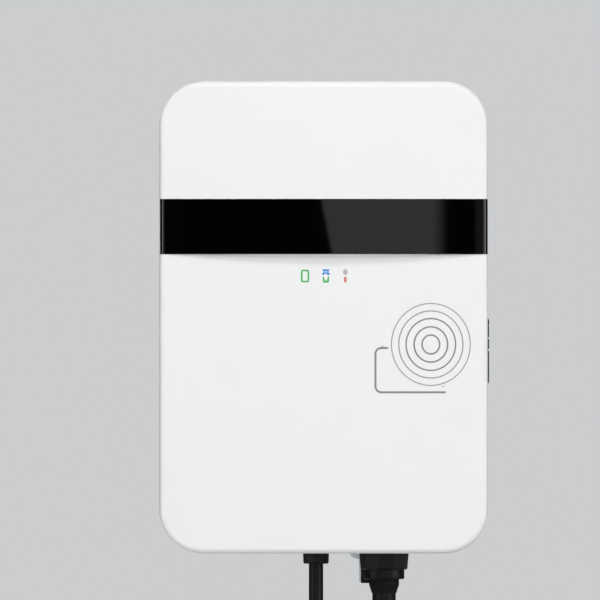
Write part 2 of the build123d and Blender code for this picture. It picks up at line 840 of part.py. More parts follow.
# Main board on its standoffs, with the parts that stand on it
board_front = main_depth + board_t
wire_depth = inner_back + block_foot / 2
block_w = block_pitch * block_ways
block_x = (supply_x + charge_x) / 2
block_z = bay_roof + block_rise
main_left = -housing_half_w + main_left_inset
main_right = rail_base_x - bracket_sheet - main_right_gap
main_top = half_h - main_top_inset
main_bottom = block_z + block_h / 2 + main_bottom_gap
main_x = (main_left + main_right) / 2
main_z = (main_bottom + main_top) / 2
power_x = main_left + power_left_inset + power_w / 2
power_z = main_top - power_top_inset - power_h / 2
relay_x = main_right - relay_right_inset
relay_left = relay_x - relay_w / 2
sensor_x = (main_left + relay_left) / 2 - sensor_shift
capacitor_x = main_right - capacitor_right_inset
board_corners = [(x, z) for x in (main_left + board_hole_inset, main_right - board_hole_inset)
                 for z in (main_bottom + board_hole_inset, main_top - board_hole_inset)]

with BuildPart() as main_board:
    with BuildSketch(at_depth(main_depth)):
        with Locations((main_x, main_z)):
            RectangleRounded(main_right - main_left, main_top - main_bottom, board_corner_r)
        with Locations(*board_corners):
            Circle(board_screw_r + fit_gap, mode=Mode.SUBTRACT)
    extrude(amount=board_t)
save(main_board.part, "main_board")

with BuildPart() as board_standoffs:
    with BuildSketch(at_depth(inner_back)):
        with Locations(*board_corners):
            RegularPolygon(standoff_r, 6)
            Circle(board_screw_r, mode=Mode.SUBTRACT)
    extrude(amount=main_depth - inner_back)
save(board_standoffs.part, "board_standoffs")

with BuildPart() as board_screws:
    with BuildSketch(at_depth(main_depth - board_screw_l)):
        with Locations(*board_corners):
            Circle(board_screw_r - pin_gap)
    extrude(amount=board_screw_l + board_t)
    with BuildSketch(at_depth(board_front)):
        with Locations(*board_corners):
            Circle(2 * board_screw_r)
    extrude(amount=board_screw_r)
save(board_screws.part, "board_screws")

with BuildPart() as power_supply:
    with BuildSketch(at_depth(board_front)):
        with Locations((power_x, power_z)):
            RectangleRounded(power_w, power_h, module_r)
    extrude(amount=power_tall)
    chamfer(power_supply.faces().sort_by(Axis.Y)[0].edges(), edge_break)
save(power_supply.part, "power_supply")

with BuildPart() as power_relays:
    with BuildSketch(at_depth(board_front)):
        with Locations((relay_x, main_z + relay_rise)):
            with GridLocations(relay_w, relay_pitch, 1, 2):
                RectangleRounded(relay_w, relay_h, module_r)
    extrude(amount=relay_tall)
    chamfer(power_relays.faces().group_by(Axis.Y)[0].edges(), edge_break)
save(power_relays.part, "power_relays")

with BuildPart() as current_sensor:
    with BuildSketch(at_depth(board_front)):
        with Locations((sensor_x, main_z - sensor_drop)):
            Circle(sensor_r)
            Circle(sensor_hole_r, mode=Mode.SUBTRACT)
    extrude(amount=sensor_tall)
save(current_sensor.part, "current_sensor")

with BuildPart() as capacitors:
    with BuildSketch(at_depth(board_front)):
        with Locations((capacitor_x, power_z)):
            with GridLocations(capacitor_r, capacitor_pitch, 1, 3):
                Circle(capacitor_r)
    extrude(amount=capacitor_tall)
    fillet(capacitors.faces().group_by(Axis.Y)[0].edges(), edge_break)
save(capacitors.part, "capacitors")

with BuildPart() as terminal_block:
    with BuildSketch(at_depth(inner_back)):
        with Locations((block_x, block_z)):
            Rectangle(block_w, block_h)
    extrude(amount=block_foot)
    with BuildSketch(at_depth(inner_back)):
        with Locations((block_x, block_z)):
            Rectangle(block_w, block_h - 2 * block_step)
    extrude(amount=block_tall)
    with BuildSketch(at_depth(inner_back + block_tall)):
        with Locations((block_x, block_z)):
            with GridLocations(block_pitch, block_h, block_ways, 1):
                Circle(block_screw_r + fit_gap)
    extrude(amount=-block_tall / 2, mode=Mode.SUBTRACT)
    with BuildSketch(at_height(block_z - block_h / 2)):
        with Locations((block_x, -wire_depth)):
            with GridLocations(block_pitch, block_foot, block_ways, 1):
                Circle(block_wire_r)
    extrude(amount=block_wire_depth, mode=Mode.SUBTRACT)
save(terminal_block.part, "terminal_block")

with BuildPart() as terminal_screws:
    screw_top = inner_back + block_tall - block_screw_r
    with BuildSketch(at_depth(inner_back + block_tall / 2)):
        with Locations((block_x, block_z)):
            with GridLocations(block_pitch, block_h, block_ways, 1):
                Circle(block_screw_r)
    extrude(amount=screw_top - inner_back - block_tall / 2)
    with BuildSketch(at_depth(screw_top)):
        with Locations((block_x, block_z)):
            with GridLocations(block_pitch, block_h, block_ways, 1):
                Rectangle(2 * block_screw_r, driver_slot_w)
    extrude(amount=-driver_slot_depth, mode=Mode.SUBTRACT)
save(terminal_screws.part, "terminal_screws")

# Light board, its guides and the card reader board, on the cover's pegs
with BuildPart() as light_board:
    with BuildSketch(at_depth(light_board_depth - board_t)):
        with Locations((0, light_z)):
            RectangleRounded(light_board_w, light_board_h, board_corner_r)
    extrude(amount=board_t)
save(light_board.part, "light_board")

with BuildPart() as light_guides:
    with BuildSketch(at_depth(light_board_depth)):
        with Locations(*light_points):
            Circle(guide_r)
    extrude(amount=panel_depth - skin_t - fit_gap - light_board_depth)
save(light_guides.part, "light_guides")

with BuildPart() as reader_board:
    with BuildSketch(at_depth(reader_depth - board_t)):
        with Locations((reader_x, reader_z)):
            RectangleRounded(reader_w, reader_h, board_corner_r)
    extrude(amount=board_t)
save(reader_board.part, "reader_board")

# Flat cable between the main board and the light board, with a plug at each end
ribbon_x = main_right - ribbon_right_inset
ribbon_near = board_front + header_tall
ribbon_far = light_board_depth - board_t - header_tall
ribbon_low_z = light_z - ribbon_drop
with BuildPart() as ribbon_cable:
    with BuildSketch(at_side(ribbon_x - ribbon_w / 2)):
        with BuildLine():
            Spline((-ribbon_near + ribbon_t, ribbon_low_z),
                   (-(ribbon_near + ribbon_far) / 2, ribbon_low_z - ribbon_slack),
                   (-ribbon_far - ribbon_t, light_z), tangents=((-1, 0), (-1, 0)))
        trace(line_width=ribbon_t)
    extrude(amount=ribbon_w)
    for depth, z in ((board_front, ribbon_low_z), (ribbon_far, light_z)):
        with BuildSketch(at_depth(depth)):
            with Locations((ribbon_x, z)):
                Rectangle(header_w, header_h)
        extrude(amount=header_tall)
save(ribbon_cable.part, "ribbon_cable")

# Glands in the roof of the bay


def on_cord(x, z):
    """The level plane at height z, centred on a gland and its cord."""
    return Plane(origin=(x, -gland_depth, z), x_dir=(1, 0, 0), z_dir=(0, 0, 1))


def gland_set(name, x, thread_r, flange_h, nut_r, nut_end_r, nut_bottom, cord_r):
    """The threaded body, rubber seal, domed nut and inner locknut of one cable gland."""
    flange_bottom = bay_top - flange_h
    thread_top = bay_roof + locknut_h + thread_shows
    nut_inner_r = thread_r - thread_step
    with BuildPart() as body:
        with BuildSketch(on_cord(x, flange_bottom)):
            RegularPolygon(nut_r + flange_lip, 6)
        extrude(amount=flange_h)
        with BuildSketch(on_cord(x, flange_bottom - gland_seal_h)):
            Circle(nut_inner_r - gland_wall)
        extrude(amount=thread_top - flange_bottom + gland_seal_h)
        with BuildSketch(on_cord(x, bay_top)):
            Circle(thread_r)
        extrude(amount=thread_top - bay_top)
        with BuildSketch(on_cord(x, flange_bottom - gland_seal_h)):
            Circle(nut_inner_r)
        extrude(amount=gland_seal_h)
        with BuildSketch(on_cord(x, flange_bottom - gland_seal_h)):
            Circle(cord_r + 2 * fit_gap)
        extrude(amount=body_h, mode=Mode.SUBTRACT)
    save(body.part, f"{name}_gland_body")
    with BuildPart() as nut:
        with BuildSketch(on_cord(x, flange_bottom)):
            RegularPolygon(nut_r, nut_sides, rotation=nut_turn)
        with BuildSketch(on_cord(x, nut_bottom)):
            RegularPolygon(nut_end_r, nut_sides, rotation=nut_turn)
        loft()
        with BuildSketch(on_cord(x, nut_bottom + nut_floor)):
            Circle(nut_inner_r + fit_gap)
        extrude(amount=flange_bottom - nut_bottom, mode=Mode.SUBTRACT)
        with BuildSketch(on_cord(x, nut_bottom - past)):
            Circle(cord_r + fit_gap)
        extrude(amount=body_h, mode=Mode.SUBTRACT)
        fillet(nut.faces().sort_by(Axis.Z)[0].outer_wire().edges(), nut_round)
    save(nut.part, f"{name}_gland_nut")
    with BuildPart() as seal:
        with BuildSketch(on_cord(x, nut_bottom + nut_floor + fit_gap)):
            Circle(nut_inner_r)
            Circle(cord_r + fit_gap, mode=Mode.SUBTRACT)
        extrude(amount=flange_bottom - gland_seal_h - nut_bottom - nut_floor - 2 * fit_gap)
    save(seal.part, f"{name}_gland_seal")
    with BuildPart() as locknut:
        with BuildSketch(on_cord(x, bay_roof)):
            RegularPolygon(thread_r * locknut_ratio, 6)
            Circle(thread_r + pin_gap, mode=Mode.SUBTRACT)
        extrude(amount=locknut_h)
    save(locknut.part, f"{name}_gland_locknut")


gland_set("supply", supply_x, supply_thread_r, supply_flange_h, supply_nut_r, supply_nut_end_r,
          supply_nut_bottom, supply_d / 2)
gland_set("charging", charge_x, charge_thread_r, charge_flange_h, charge_nut_r, charge_nut_end_r,
          charge_nut_bottom, charge_d / 2)

# Collar and rubber boot below the charging gland's nut
collar_bottom = charge_nut_bottom - collar_h
boot_bottom = collar_bottom - boot_h
with BuildPart() as gland_collar:
    with BuildSketch(on_cord(charge_x, collar_bottom)):
        Circle(collar_r)
        Circle(charge_d / 2 + fit_gap, mode=Mode.SUBTRACT)
    extrude(amount=collar_h)
    fillet(gland_collar.faces().sort_by(Axis.Z)[0].outer_wire().edges(), edge_break)
save(gland_collar.part, "gland_collar")

with BuildPart() as bend_relief_boot:
    with BuildSketch(Plane(origin=(charge_x, -gland_depth, 0), x_dir=(1, 0, 0), z_dir=(0, -1, 0))):
        with BuildLine():
            Polyline((charge_d / 2 + fit_gap, collar_bottom), (boot_r, collar_bottom),
                     (boot_r, collar_bottom - boot_straight))
            Spline((boot_r, collar_bottom - boot_straight), (boot_waist_r, collar_bottom - boot_waist_drop),
                   (boot_end_r, boot_bottom), tangents=((0, -1), (-boot_taper, -1)))
            Polyline((boot_end_r, boot_bottom), (charge_d / 2 + fit_gap, boot_bottom),
                     (charge_d / 2 + fit_gap, collar_bottom))
        make_face()
    revolve(axis=Axis((charge_x, -gland_depth, 0), (0, 0, 1)))
save(bend_relief_boot.part, "bend_relief_boot")


def coil_plane(centre_x, centre_z, angle):
    """A plane through a coil's own axis: local X is the radius and local Y the world Y."""
    turn = math.radians(angle)
    return Plane(origin=(centre_x, 0, centre_z), x_dir=(math.cos(turn), 0, math.sin(turn)),
                 z_dir=(-math.sin(turn), 0, math.cos(turn)))


def coil_solid(name, cord_d, entry_x, side, centre_z, layers, planes, exit_plane):
    """The outer shape of a neat coil, with the short straight pieces where the cord meets it.

    The cord comes down at entry_x, and side is +1 where the coil lies to its right.
    layers holds the inner and outer radius of the cord's middle line.
    """
    inner, outer = layers
    centre_x = entry_x + side * outer
    first_y = -gland_depth
    last_y = first_y - (planes - 1) * cord_d
    straight = math.sqrt((outer + cord_d / 2) ** 2 - (outer - cord_d / 2) ** 2) + past
    with BuildPart() as coil:
        with BuildSketch(coil_plane(centre_x, centre_z, 0)):
            with Locations(((inner + outer) / 2, (first_y + last_y) / 2)):
                RectangleRounded(outer - inner + cord_d, first_y - last_y + cord_d, bundle_round * cord_d)
        revolve(axis=Axis((centre_x, 0, centre_z), (0, 1, 0)))
        with BuildSketch(at_height(centre_z)):
            with Locations((entry_x, first_y)):
                Circle(cord_d / 2)
        extrude(amount=straight)
        with BuildSketch(at_height(centre_z)):
            with Locations((entry_x, first_y - exit_plane * cord_d)):
                Circle(cord_d / 2)
        extrude(amount=-straight)
    save(coil.part, name)
    return centre_x, centre_z + straight, centre_z - straight


def straight_cord(name, cord_d, x, y, z_top, z_bottom):
    """A cord where it hangs straight down."""
    with BuildPart() as cord:
        with BuildSketch(Plane(origin=(x, y, z_bottom), x_dir=(1, 0, 0), z_dir=(0, 0, 1))):
            Circle(cord_d / 2)
        extrude(amount=z_top - z_bottom)
    save(cord.part, name)
    print(name, "straight, length", round(z_top - z_bottom, 1), "volume", round(cord.part.volume),
          "section x length", round(math.pi * cord_d ** 2 / 4 * (z_top - z_bottom)))


def straps(name, cord_d, centre_x, centre_z, layers, planes, angles, width, thickness):
    """Bands round a coil's bundle at these angles, each following the bundle's curve."""
    inner, outer = layers
    first_y = -gland_depth
    last_y = first_y - (planes - 1) * cord_d
    arc = math.degrees(width / ((inner + outer) / 2))
    size_r = outer - inner + cord_d + 2 * fit_gap
    size_y = first_y - last_y + cord_d + 2 * fit_gap
    with BuildPart() as bands:
        for angle in angles:
            with BuildSketch(coil_plane(centre_x, centre_z, angle)):
                with Locations(((inner + outer) / 2, (first_y + last_y) / 2)):
                    RectangleRounded(size_r + 2 * thickness, size_y + 2 * thickness,
                                     bundle_round * cord_d + thickness)
                    RectangleRounded(size_r, size_y, bundle_round * cord_d, mode=Mode.SUBTRACT)
            revolve(axis=Axis((centre_x, 0, centre_z), (0, 1, 0)), revolution_arc=arc)
    save(bands.part, name)


# Supply lead: down from its gland, a small coil to the left, and a bare end
cord_start_z = bay_roof + locknut_h + cord_shows
supply_layers = (supply_coil_d / 2, supply_coil_d / 2)
supply_turns = 2
supply_planes = supply_turns + 1
supply_coil_x, supply_in_z, supply_out_z = coil_solid(
    "supply_lead_coil", supply_d, supply_x, -1, supply_coil_z, supply_layers, supply_planes, supply_turns)
supply_tail_l = (supply_lead_l - (supply_nut_bottom - supply_coil_z)
                 - supply_turns * math.pi * supply_coil_d)
supply_end_y = -gland_depth - supply_turns * supply_d
sheath_end_z = supply_coil_z - supply_tail_l + core_l
straight_cord("supply_lead", supply_d, supply_x, -gland_depth, cord_start_z, supply_in_z)
straight_cord("supply_lead_tail", supply_d, supply_x, supply_end_y, supply_out_z, sheath_end_z)
straps("supply_coil_ties", supply_d, supply_coil_x, supply_coil_z, supply_layers, supply_planes,
       supply_tie_angles, tie_w, tie_t)



def core_start(x, y, z, cord_d, angle):
    """Where one of a cord's cores comes out of its sheath."""
    ring = core_ring * cord_d
    return Vector(x + ring * math.cos(math.radians(angle)), y + ring * math.sin(math.radians(angle)), z)


bare_cores = []
for core_angle in core_angles:
    bare_start = core_start(supply_x, supply_end_y, sheath_end_z, supply_d, core_angle)
    outward = bare_start - Vector(supply_x, supply_end_y, sheath_end_z)
    bare_end = bare_start + outward.normalized() * core_spread - Vector(0, 0, core_l - ferrule_l / 2)
    bare_cores.append((bare_start, bare_end))

with BuildPart() as supply_cores:
    for bare_start, bare_end in bare_cores:
        with BuildLine() as core_line:
            Line(bare_start, bare_end)
        with BuildSketch(Plane(origin=bare_start, z_dir=bare_end - bare_start)):
            Circle(core_d / 2)
        sweep(path=core_line.line)
    with BuildSketch(at_height(sheath_end_z)):
        with Locations((supply_x, supply_end_y)):
            Rectangle(4 * supply_d, 4 * supply_d)
    extrude(amount=core_d, mode=Mode.SUBTRACT)
save(supply_cores.part, "supply_cores")

with BuildPart() as core_ferrules:
    for bare_start, bare_end in bare_cores:
        along = (bare_end - bare_start).normalized()
        with BuildSketch(Plane(origin=bare_end, z_dir=along)):
            Circle(core_d / 2 + ferrule_wall)
        extrude(amount=ferrule_collar_l)
        with BuildSketch(Plane(origin=bare_end + along * ferrule_collar_l, z_dir=along)):
            Circle(ferrule_r)
        extrude(amount=ferrule_l - ferrule_collar_l)
save(core_ferrules.part, "core_ferrules")


def inner_wires(name, core_angle, way):
    """One core of the lead and one of the cable, from the sheath's end up into the terminals."""
    cords = ((supply_x, supply_d, core_d, way), (charge_x, charge_d, charge_core_d, way + block_ways // 2))
    first_way_x = block_x - (block_w - block_pitch) / 2
    block_bottom = block_z - block_h / 2
    with BuildPart() as wires:
        for cord_x, cord_d, wire_d, entry in cords:
            start = core_start(cord_x, -gland_depth, cord_start_z, cord_d, core_angle)
            mouth = Vector(first_way_x + entry * block_pitch, -wire_depth, block_bottom - past)
            with BuildLine() as path:
                Spline(start, mouth, tangents=((0, 0, 1), (0, 0, 1)))
                Line(mouth, mouth + Vector(0, 0, block_wire_depth))
            with BuildSketch(Plane(origin=start, z_dir=(0, 0, 1))):
                Circle(wire_d / 2)
            sweep(path=path.line)
    save(wires.part, name)


inner_wires("phase_wires", core_angles[1], 0)
inner_wires("neutral_wires", core_angles[0], 1)
inner_wires("earth_wires", core_angles[2], 2)

# Charging cable: down from its gland, a large coil to the right, and down to the car plug
coil_outer_r = coil_inner_r + charge_d
charge_layers = (coil_inner_r, coil_outer_r)
exit_plane = coil_planes - outer_turns + 1
charge_coil_x, charge_in_z, charge_out_z = coil_solid(
    "charging_cable_coil", charge_d, charge_x, 1, charge_coil_z, charge_layers, coil_planes, exit_plane)
charge_tail_l = (charge_cable_l - (boot_bottom - charge_coil_z)
                 - 2 * math.pi * (outer_turns * coil_outer_r + inner_turns * coil_inner_r))
plug_y = -gland_depth - exit_plane * charge_d
plug_top = charge_coil_z - charge_tail_l
straight_cord("charging_cable", charge_d, charge_x, -gland_depth, cord_start_z, charge_in_z)
straight_cord("charging_cable_tail", charge_d, charge_x, plug_y, charge_out_z,
              plug_top - plug_nut_l - plug_cord_inside)
straps("charging_coil_straps", charge_d, charge_coil_x, charge_coil_z, charge_layers, coil_planes,
       charge_strap_angles, strap_w, strap_t)


def on_plug(drop):
    """The level plane this far below the top of the car plug."""
    return Plane(origin=(charge_x, plug_y, plug_top - drop), x_dir=(1, 0, 0), z_dir=(0, 0, 1))


# Car plug: two grip shells, a D-shaped nose and a carrier with seven sleeves
grip_top = plug_nut_shows
grip_bottom = grip_top + plug_grip_l
grip_end_r = plug_flange_r - flange_inset
plug_stations = ((grip_top, plug_grip_r, plug_grip_r),
                 (grip_top + plug_waist_drop, plug_grip_r - edge_break, plug_belly_r),
                 (grip_top + plug_belly_drop, plug_belly_r, plug_belly_r + plug_belly_bulge),
                 (grip_bottom, grip_end_r, grip_end_r))
plug_screw_drops = [grip_top + place for place in plug_screw_places]
plug_head_y = plug_y + plug_belly_r - plug_head_sink


def grip_form(inset):
    """The car plug's grip as one solid, set in all round."""
    with BuildPart() as grip:
        for drop, rx, ry in plug_stations:
            with BuildSketch(on_plug(drop)):
                Ellipse(rx - inset, ry - inset)
        loft()
    return grip.part


with BuildPart() as grip_shell:
    add(grip_form(0))
    add(grip_form(plug_wall), mode=Mode.SUBTRACT)
    for drop in plug_screw_drops:
        with BuildSketch(at_depth(-plug_y - plug_flange_r)):
            with Locations((charge_x, plug_top - drop)):
                Circle(plug_post_r)
        extrude(amount=2 * plug_flange_r)
    add(grip_form(0), mode=Mode.INTERSECT)
    for drop in plug_screw_drops:
        with BuildSketch(at_depth(-plug_y - plug_flange_r)):
            with Locations((charge_x, plug_top - drop)):
                Circle(plug_screw_r + fit_gap)
        extrude(amount=plug_flange_r + plug_belly_r - plug_head_sink, mode=Mode.SUBTRACT)
        with BuildSketch(at_depth(-plug_y - plug_flange_r)):
            with Locations((charge_x, plug_top - drop)):
                Circle(2 * plug_screw_r + fit_gap)
        extrude(amount=plug_flange_r - plug_belly_r + plug_head_sink, mode=Mode.SUBTRACT)

middle = Plane(origin=(charge_x, plug_y, 0), z_dir=(0, -1, 0))
with BuildPart() as plug_front_shell:
    add(grip_shell.part)
    split(bisect_by=middle, keep=Keep.TOP)
save(plug_front_shell.part, "plug_front_shell")

with BuildPart() as plug_back_shell:
    add(grip_shell.part)
    split(bisect_by=middle, keep=Keep.BOTTOM)
save(plug_back_shell.part, "plug_back_shell")

with BuildPart() as plug_screws:
    for drop in plug_screw_drops:
        with BuildSketch(at_depth(-plug_head_y - plug_head_h)):
            with Locations((charge_x, plug_top - drop)):
                Circle(2 * plug_screw_r)
        extrude(amount=plug_head_h)
        with BuildSketch(at_depth(-plug_head_y)):
            with Locations((charge_x, plug_top - drop)):
                Circle(plug_screw_r)
        extrude(amount=plug_screw_l)
save(plug_screws.part, "plug_screws")

with BuildPart() as plug_cable_nut:
    with BuildSketch(on_plug(0)):
        Circle(charge_d / 2 + plug_nut_lip)
    with BuildSketch(on_plug(grip_top - fit_gap)):
        Circle(plug_nut_r)
    loft()
    with BuildSketch(on_plug(grip_top - fit_gap)):
        Circle(plug_grip_r - plug_wall - plug_nut_gap)
    extrude(amount=plug_nut_shows - plug_nut_l)
    with BuildSketch(on_plug(plug_nut_l + past)):
        Circle(charge_d / 2 + fit_gap)
    extrude(amount=plug_nut_l + 2 * past, mode=Mode.SUBTRACT)
save(plug_cable_nut.part, "plug_cable_nut")


def nose_outline(radius, flat):
    """A circle with its back cut off flat, as the car's inlet needs."""
    with BuildSketch() as outline:
        Circle(radius)
        with Locations((0, flat + radius)):
            Rectangle(4 * radius, 2 * radius, mode=Mode.SUBTRACT)
    return outline.sketch


nose_top = grip_bottom + fit_gap
nose_bottom = nose_top + plug_flange_l + nose_l
with BuildPart() as plug_nose:
    with BuildSketch(on_plug(nose_top)):
        Circle(plug_flange_r)
    extrude(amount=-plug_flange_l)
    chamfer(plug_nose.edges().filter_by(GeomType.CIRCLE), flange_chamfer)
    with BuildSketch(on_plug(nose_top + plug_flange_l)):
        add(nose_outline(nose_r, nose_flat))
    extrude(amount=-nose_l)
    with BuildSketch(on_plug(nose_top + plug_flange_l)):
        add(nose_outline(nose_r - nose_wall, nose_flat - nose_wall))
    extrude(amount=-nose_l, mode=Mode.SUBTRACT)
    with BuildSketch(on_plug(nose_top)):
        add(nose_outline(carrier_r + fit_gap, carrier_flat + fit_gap))
    extrude(amount=-plug_flange_l, mode=Mode.SUBTRACT)
save(plug_nose.part, "plug_nose")

carrier_bottom = nose_bottom - carrier_recess
with BuildPart() as contact_carrier:
    with BuildSketch(on_plug(nose_top)):
        add(nose_outline(carrier_r, carrier_flat))
        for x, y, radius in pin_ring:
            with Locations((x, y)):
                Circle(radius, mode=Mode.SUBTRACT)
    extrude(amount=nose_top - carrier_bottom)
save(contact_carrier.part, "contact_carrier")

with BuildPart() as contact_sleeves:
    with BuildSketch(on_plug(nose_top)):
        for x, y, radius in pin_ring:
            with Locations((x, y)):
                Circle(radius - pin_gap)
                Circle(radius - pin_gap - sleeve_wall, mode=Mode.SUBTRACT)
    extrude(amount=nose_top - carrier_bottom + sleeve_setback)
save(contact_sleeves.part, "contact_sleeves")
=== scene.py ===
# %% [markdown]
# # A wall box that charges an electric car
#
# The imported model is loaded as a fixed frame: every piece is already in its place, in metres,
# with the wall at Y = 0, the front towards -Y and +Z up. This lesson dresses it. It gives each
# piece its real finish, lays the two cords as smooth curves, prints the marks on the cover and
# sets a small studio round it.

# %% Load the frame
import math

import bmesh
import bpy
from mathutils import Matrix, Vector


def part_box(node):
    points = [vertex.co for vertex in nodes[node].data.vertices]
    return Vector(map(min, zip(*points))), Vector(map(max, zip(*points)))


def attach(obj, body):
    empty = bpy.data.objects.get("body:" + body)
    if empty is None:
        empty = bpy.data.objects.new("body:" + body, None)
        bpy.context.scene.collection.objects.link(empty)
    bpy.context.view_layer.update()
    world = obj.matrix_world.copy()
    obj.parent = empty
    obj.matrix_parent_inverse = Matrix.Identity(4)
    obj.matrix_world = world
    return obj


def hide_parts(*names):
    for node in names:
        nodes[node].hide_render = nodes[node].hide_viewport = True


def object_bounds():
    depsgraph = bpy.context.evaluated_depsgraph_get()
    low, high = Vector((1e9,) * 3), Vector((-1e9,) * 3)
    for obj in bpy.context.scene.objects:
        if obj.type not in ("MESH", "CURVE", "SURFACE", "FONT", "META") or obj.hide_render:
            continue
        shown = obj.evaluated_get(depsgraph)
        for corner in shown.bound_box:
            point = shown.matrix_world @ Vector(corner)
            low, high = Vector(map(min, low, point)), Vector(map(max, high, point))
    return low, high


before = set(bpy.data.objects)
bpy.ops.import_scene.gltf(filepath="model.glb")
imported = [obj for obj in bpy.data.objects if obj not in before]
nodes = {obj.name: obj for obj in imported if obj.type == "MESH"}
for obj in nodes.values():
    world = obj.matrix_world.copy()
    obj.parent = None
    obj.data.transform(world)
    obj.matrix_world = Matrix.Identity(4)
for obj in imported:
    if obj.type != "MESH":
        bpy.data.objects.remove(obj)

cad_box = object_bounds()
MM = 0.001

# %% [markdown]
# ## Camera
#
# The photograph looks at the box square on, from a hair to its left, through a very long lens:
# a thin strip of the housing shows beyond the cover's left edge and the window's leaf beyond
# its right edge, which no near camera could see at once. A camera at twenty metres gives that
# view and is still a real lens. The picture is 600 pixels square and one of its pixels covers
# 0.763 mm of the cover. The box isn't in the middle of the photograph, so the camera is aimed
# a little to its left and above its middle.

# %% Camera
PHOTO_SIZE = 600
PIXEL = 0.7627 * MM
BOX_CENTRE_PX = (324.0, 317.6)
CAMERA_DISTANCE = 20.0
CAMERA_AZIMUTH = math.radians(-0.4)
SENSOR = 36.0
face_depth = -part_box("front_cover")[0][1]

aim = Vector(((PHOTO_SIZE / 2 - BOX_CENTRE_PX[0]) * PIXEL, -face_depth,
              (BOX_CENTRE_PX[1] - PHOTO_SIZE / 2) * PIXEL))
camera_data = bpy.data.cameras.new("photo_camera")
camera_data.sensor_width = SENSOR
camera_data.lens = SENSOR * CAMERA_DISTANCE / (PHOTO_SIZE * PIXEL)
camera = bpy.data.objects.new("photo_camera", camera_data)
bpy.context.scene.collection.objects.link(camera)
towards_camera = Vector((math.sin(CAMERA_AZIMUTH), -math.cos(CAMERA_AZIMUTH), 0))
camera.location = aim + CAMERA_DISTANCE * towards_camera
camera.rotation_euler = (aim - camera.location).to_track_quat("-Z", "Y").to_euler()
bpy.context.scene.camera = camera
print("camera at", [round(v, 3) for v in camera.location], "lens", round(camera_data.lens), "mm")

# %% [markdown]
# ## Surface recipes
#
# Almost everything here is a moulding, a sheath or a plated sheet. A moulding is never one
# flat colour: its gloss wavers where the tool was polished, and fine spark-eroded grain breaks
# up the highlight. So each recipe starts from a Principled shader, drives its roughness and
# colour gently from a noise in object space, and adds a grain in bump. The noise is in metres,
# so a grain of a tenth of a millimetre stays that size on every piece.

# %% A helper that makes a material from a few plain values
PLAIN_GRAIN = 0.35 * MM
DRIFT_SCALE, DRIFT_DETAIL = 25.0, 3.0
DRIFT_FROM, DRIFT_TO = 0.3, 0.7
GRAIN_DETAIL = 2.0
SMOOTHEST = 0.02


def link(tree, a, b):
    tree.links.new(a, b)


def surface(name, colour, roughness, grain=PLAIN_GRAIN, depth=0.012 * MM, drift=0.03, metallic=0.0,
            ior=1.5, spread=0.06):
    """A moulded, coated or plated surface with a fine grain and a slow drift in tone and gloss."""
    material = bpy.data.materials.new(name)
    material.use_nodes = True
    tree = material.node_tree
    shader = tree.nodes["Principled BSDF"]
    shader.inputs["Metallic"].default_value = metallic
    shader.inputs["IOR"].default_value = ior
    place = tree.nodes.new("ShaderNodeTexCoord")

    slow = tree.nodes.new("ShaderNodeTexNoise")
    slow.inputs["Scale"].default_value = DRIFT_SCALE
    slow.inputs["Detail"].default_value = DRIFT_DETAIL
    link(tree, place.outputs["Object"], slow.inputs["Vector"])
    tone = tree.nodes.new("ShaderNodeValToRGB")
    tone.color_ramp.elements[0].position = DRIFT_FROM
    tone.color_ramp.elements[1].position = DRIFT_TO
    tone.color_ramp.elements[0].color = [c * (1 - drift) for c in colour] + [1]
    tone.color_ramp.elements[1].color = [min(c * (1 + drift), 1.0) for c in colour] + [1]
    link(tree, slow.outputs["Fac"], tone.inputs["Fac"])
    link(tree, tone.outputs["Color"], shader.inputs["Base Color"])

    gloss = tree.nodes.new("ShaderNodeMapRange")
    gloss.inputs["To Min"].default_value = max(roughness - spread, SMOOTHEST)
    gloss.inputs["To Max"].default_value = roughness + spread
    link(tree, slow.outputs["Fac"], gloss.inputs["Value"])
    link(tree, gloss.outputs["Result"], shader.inputs["Roughness"])

    fine = tree.nodes.new("ShaderNodeTexNoise")
    fine.inputs["Scale"].default_value = 1.0 / grain
    fine.inputs["Detail"].default_value = GRAIN_DETAIL
    link(tree, place.outputs["Object"], fine.inputs["Vector"])
    bump = tree.nodes.new("ShaderNodeBump")
    bump.inputs["Distance"].default_value = depth
    bump.inputs["Strength"].default_value = 1.0
    link(tree, fine.outputs["Fac"], bump.inputs["Height"])
    link(tree, bump.outputs["Normal"], shader.inputs["Normal"])
    return material


print("usual grain", round(PLAIN_GRAIN / MM, 3), "mm")

# %% [markdown]
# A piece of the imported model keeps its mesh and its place. Only its material is changed, in the
# slots that it came with.

# %% A helper that puts a material on pieces
def wear(material, *node_names):
    """Put a material on CAD pieces, in the slots that they came with."""
    for node_name in node_names:
        obj = nodes[node_name]
        if not obj.material_slots:
            obj.data.materials.append(material)
        for place in obj.material_slots:
            place.material = material
    print(material.name, "on", ", ".join(node_names))
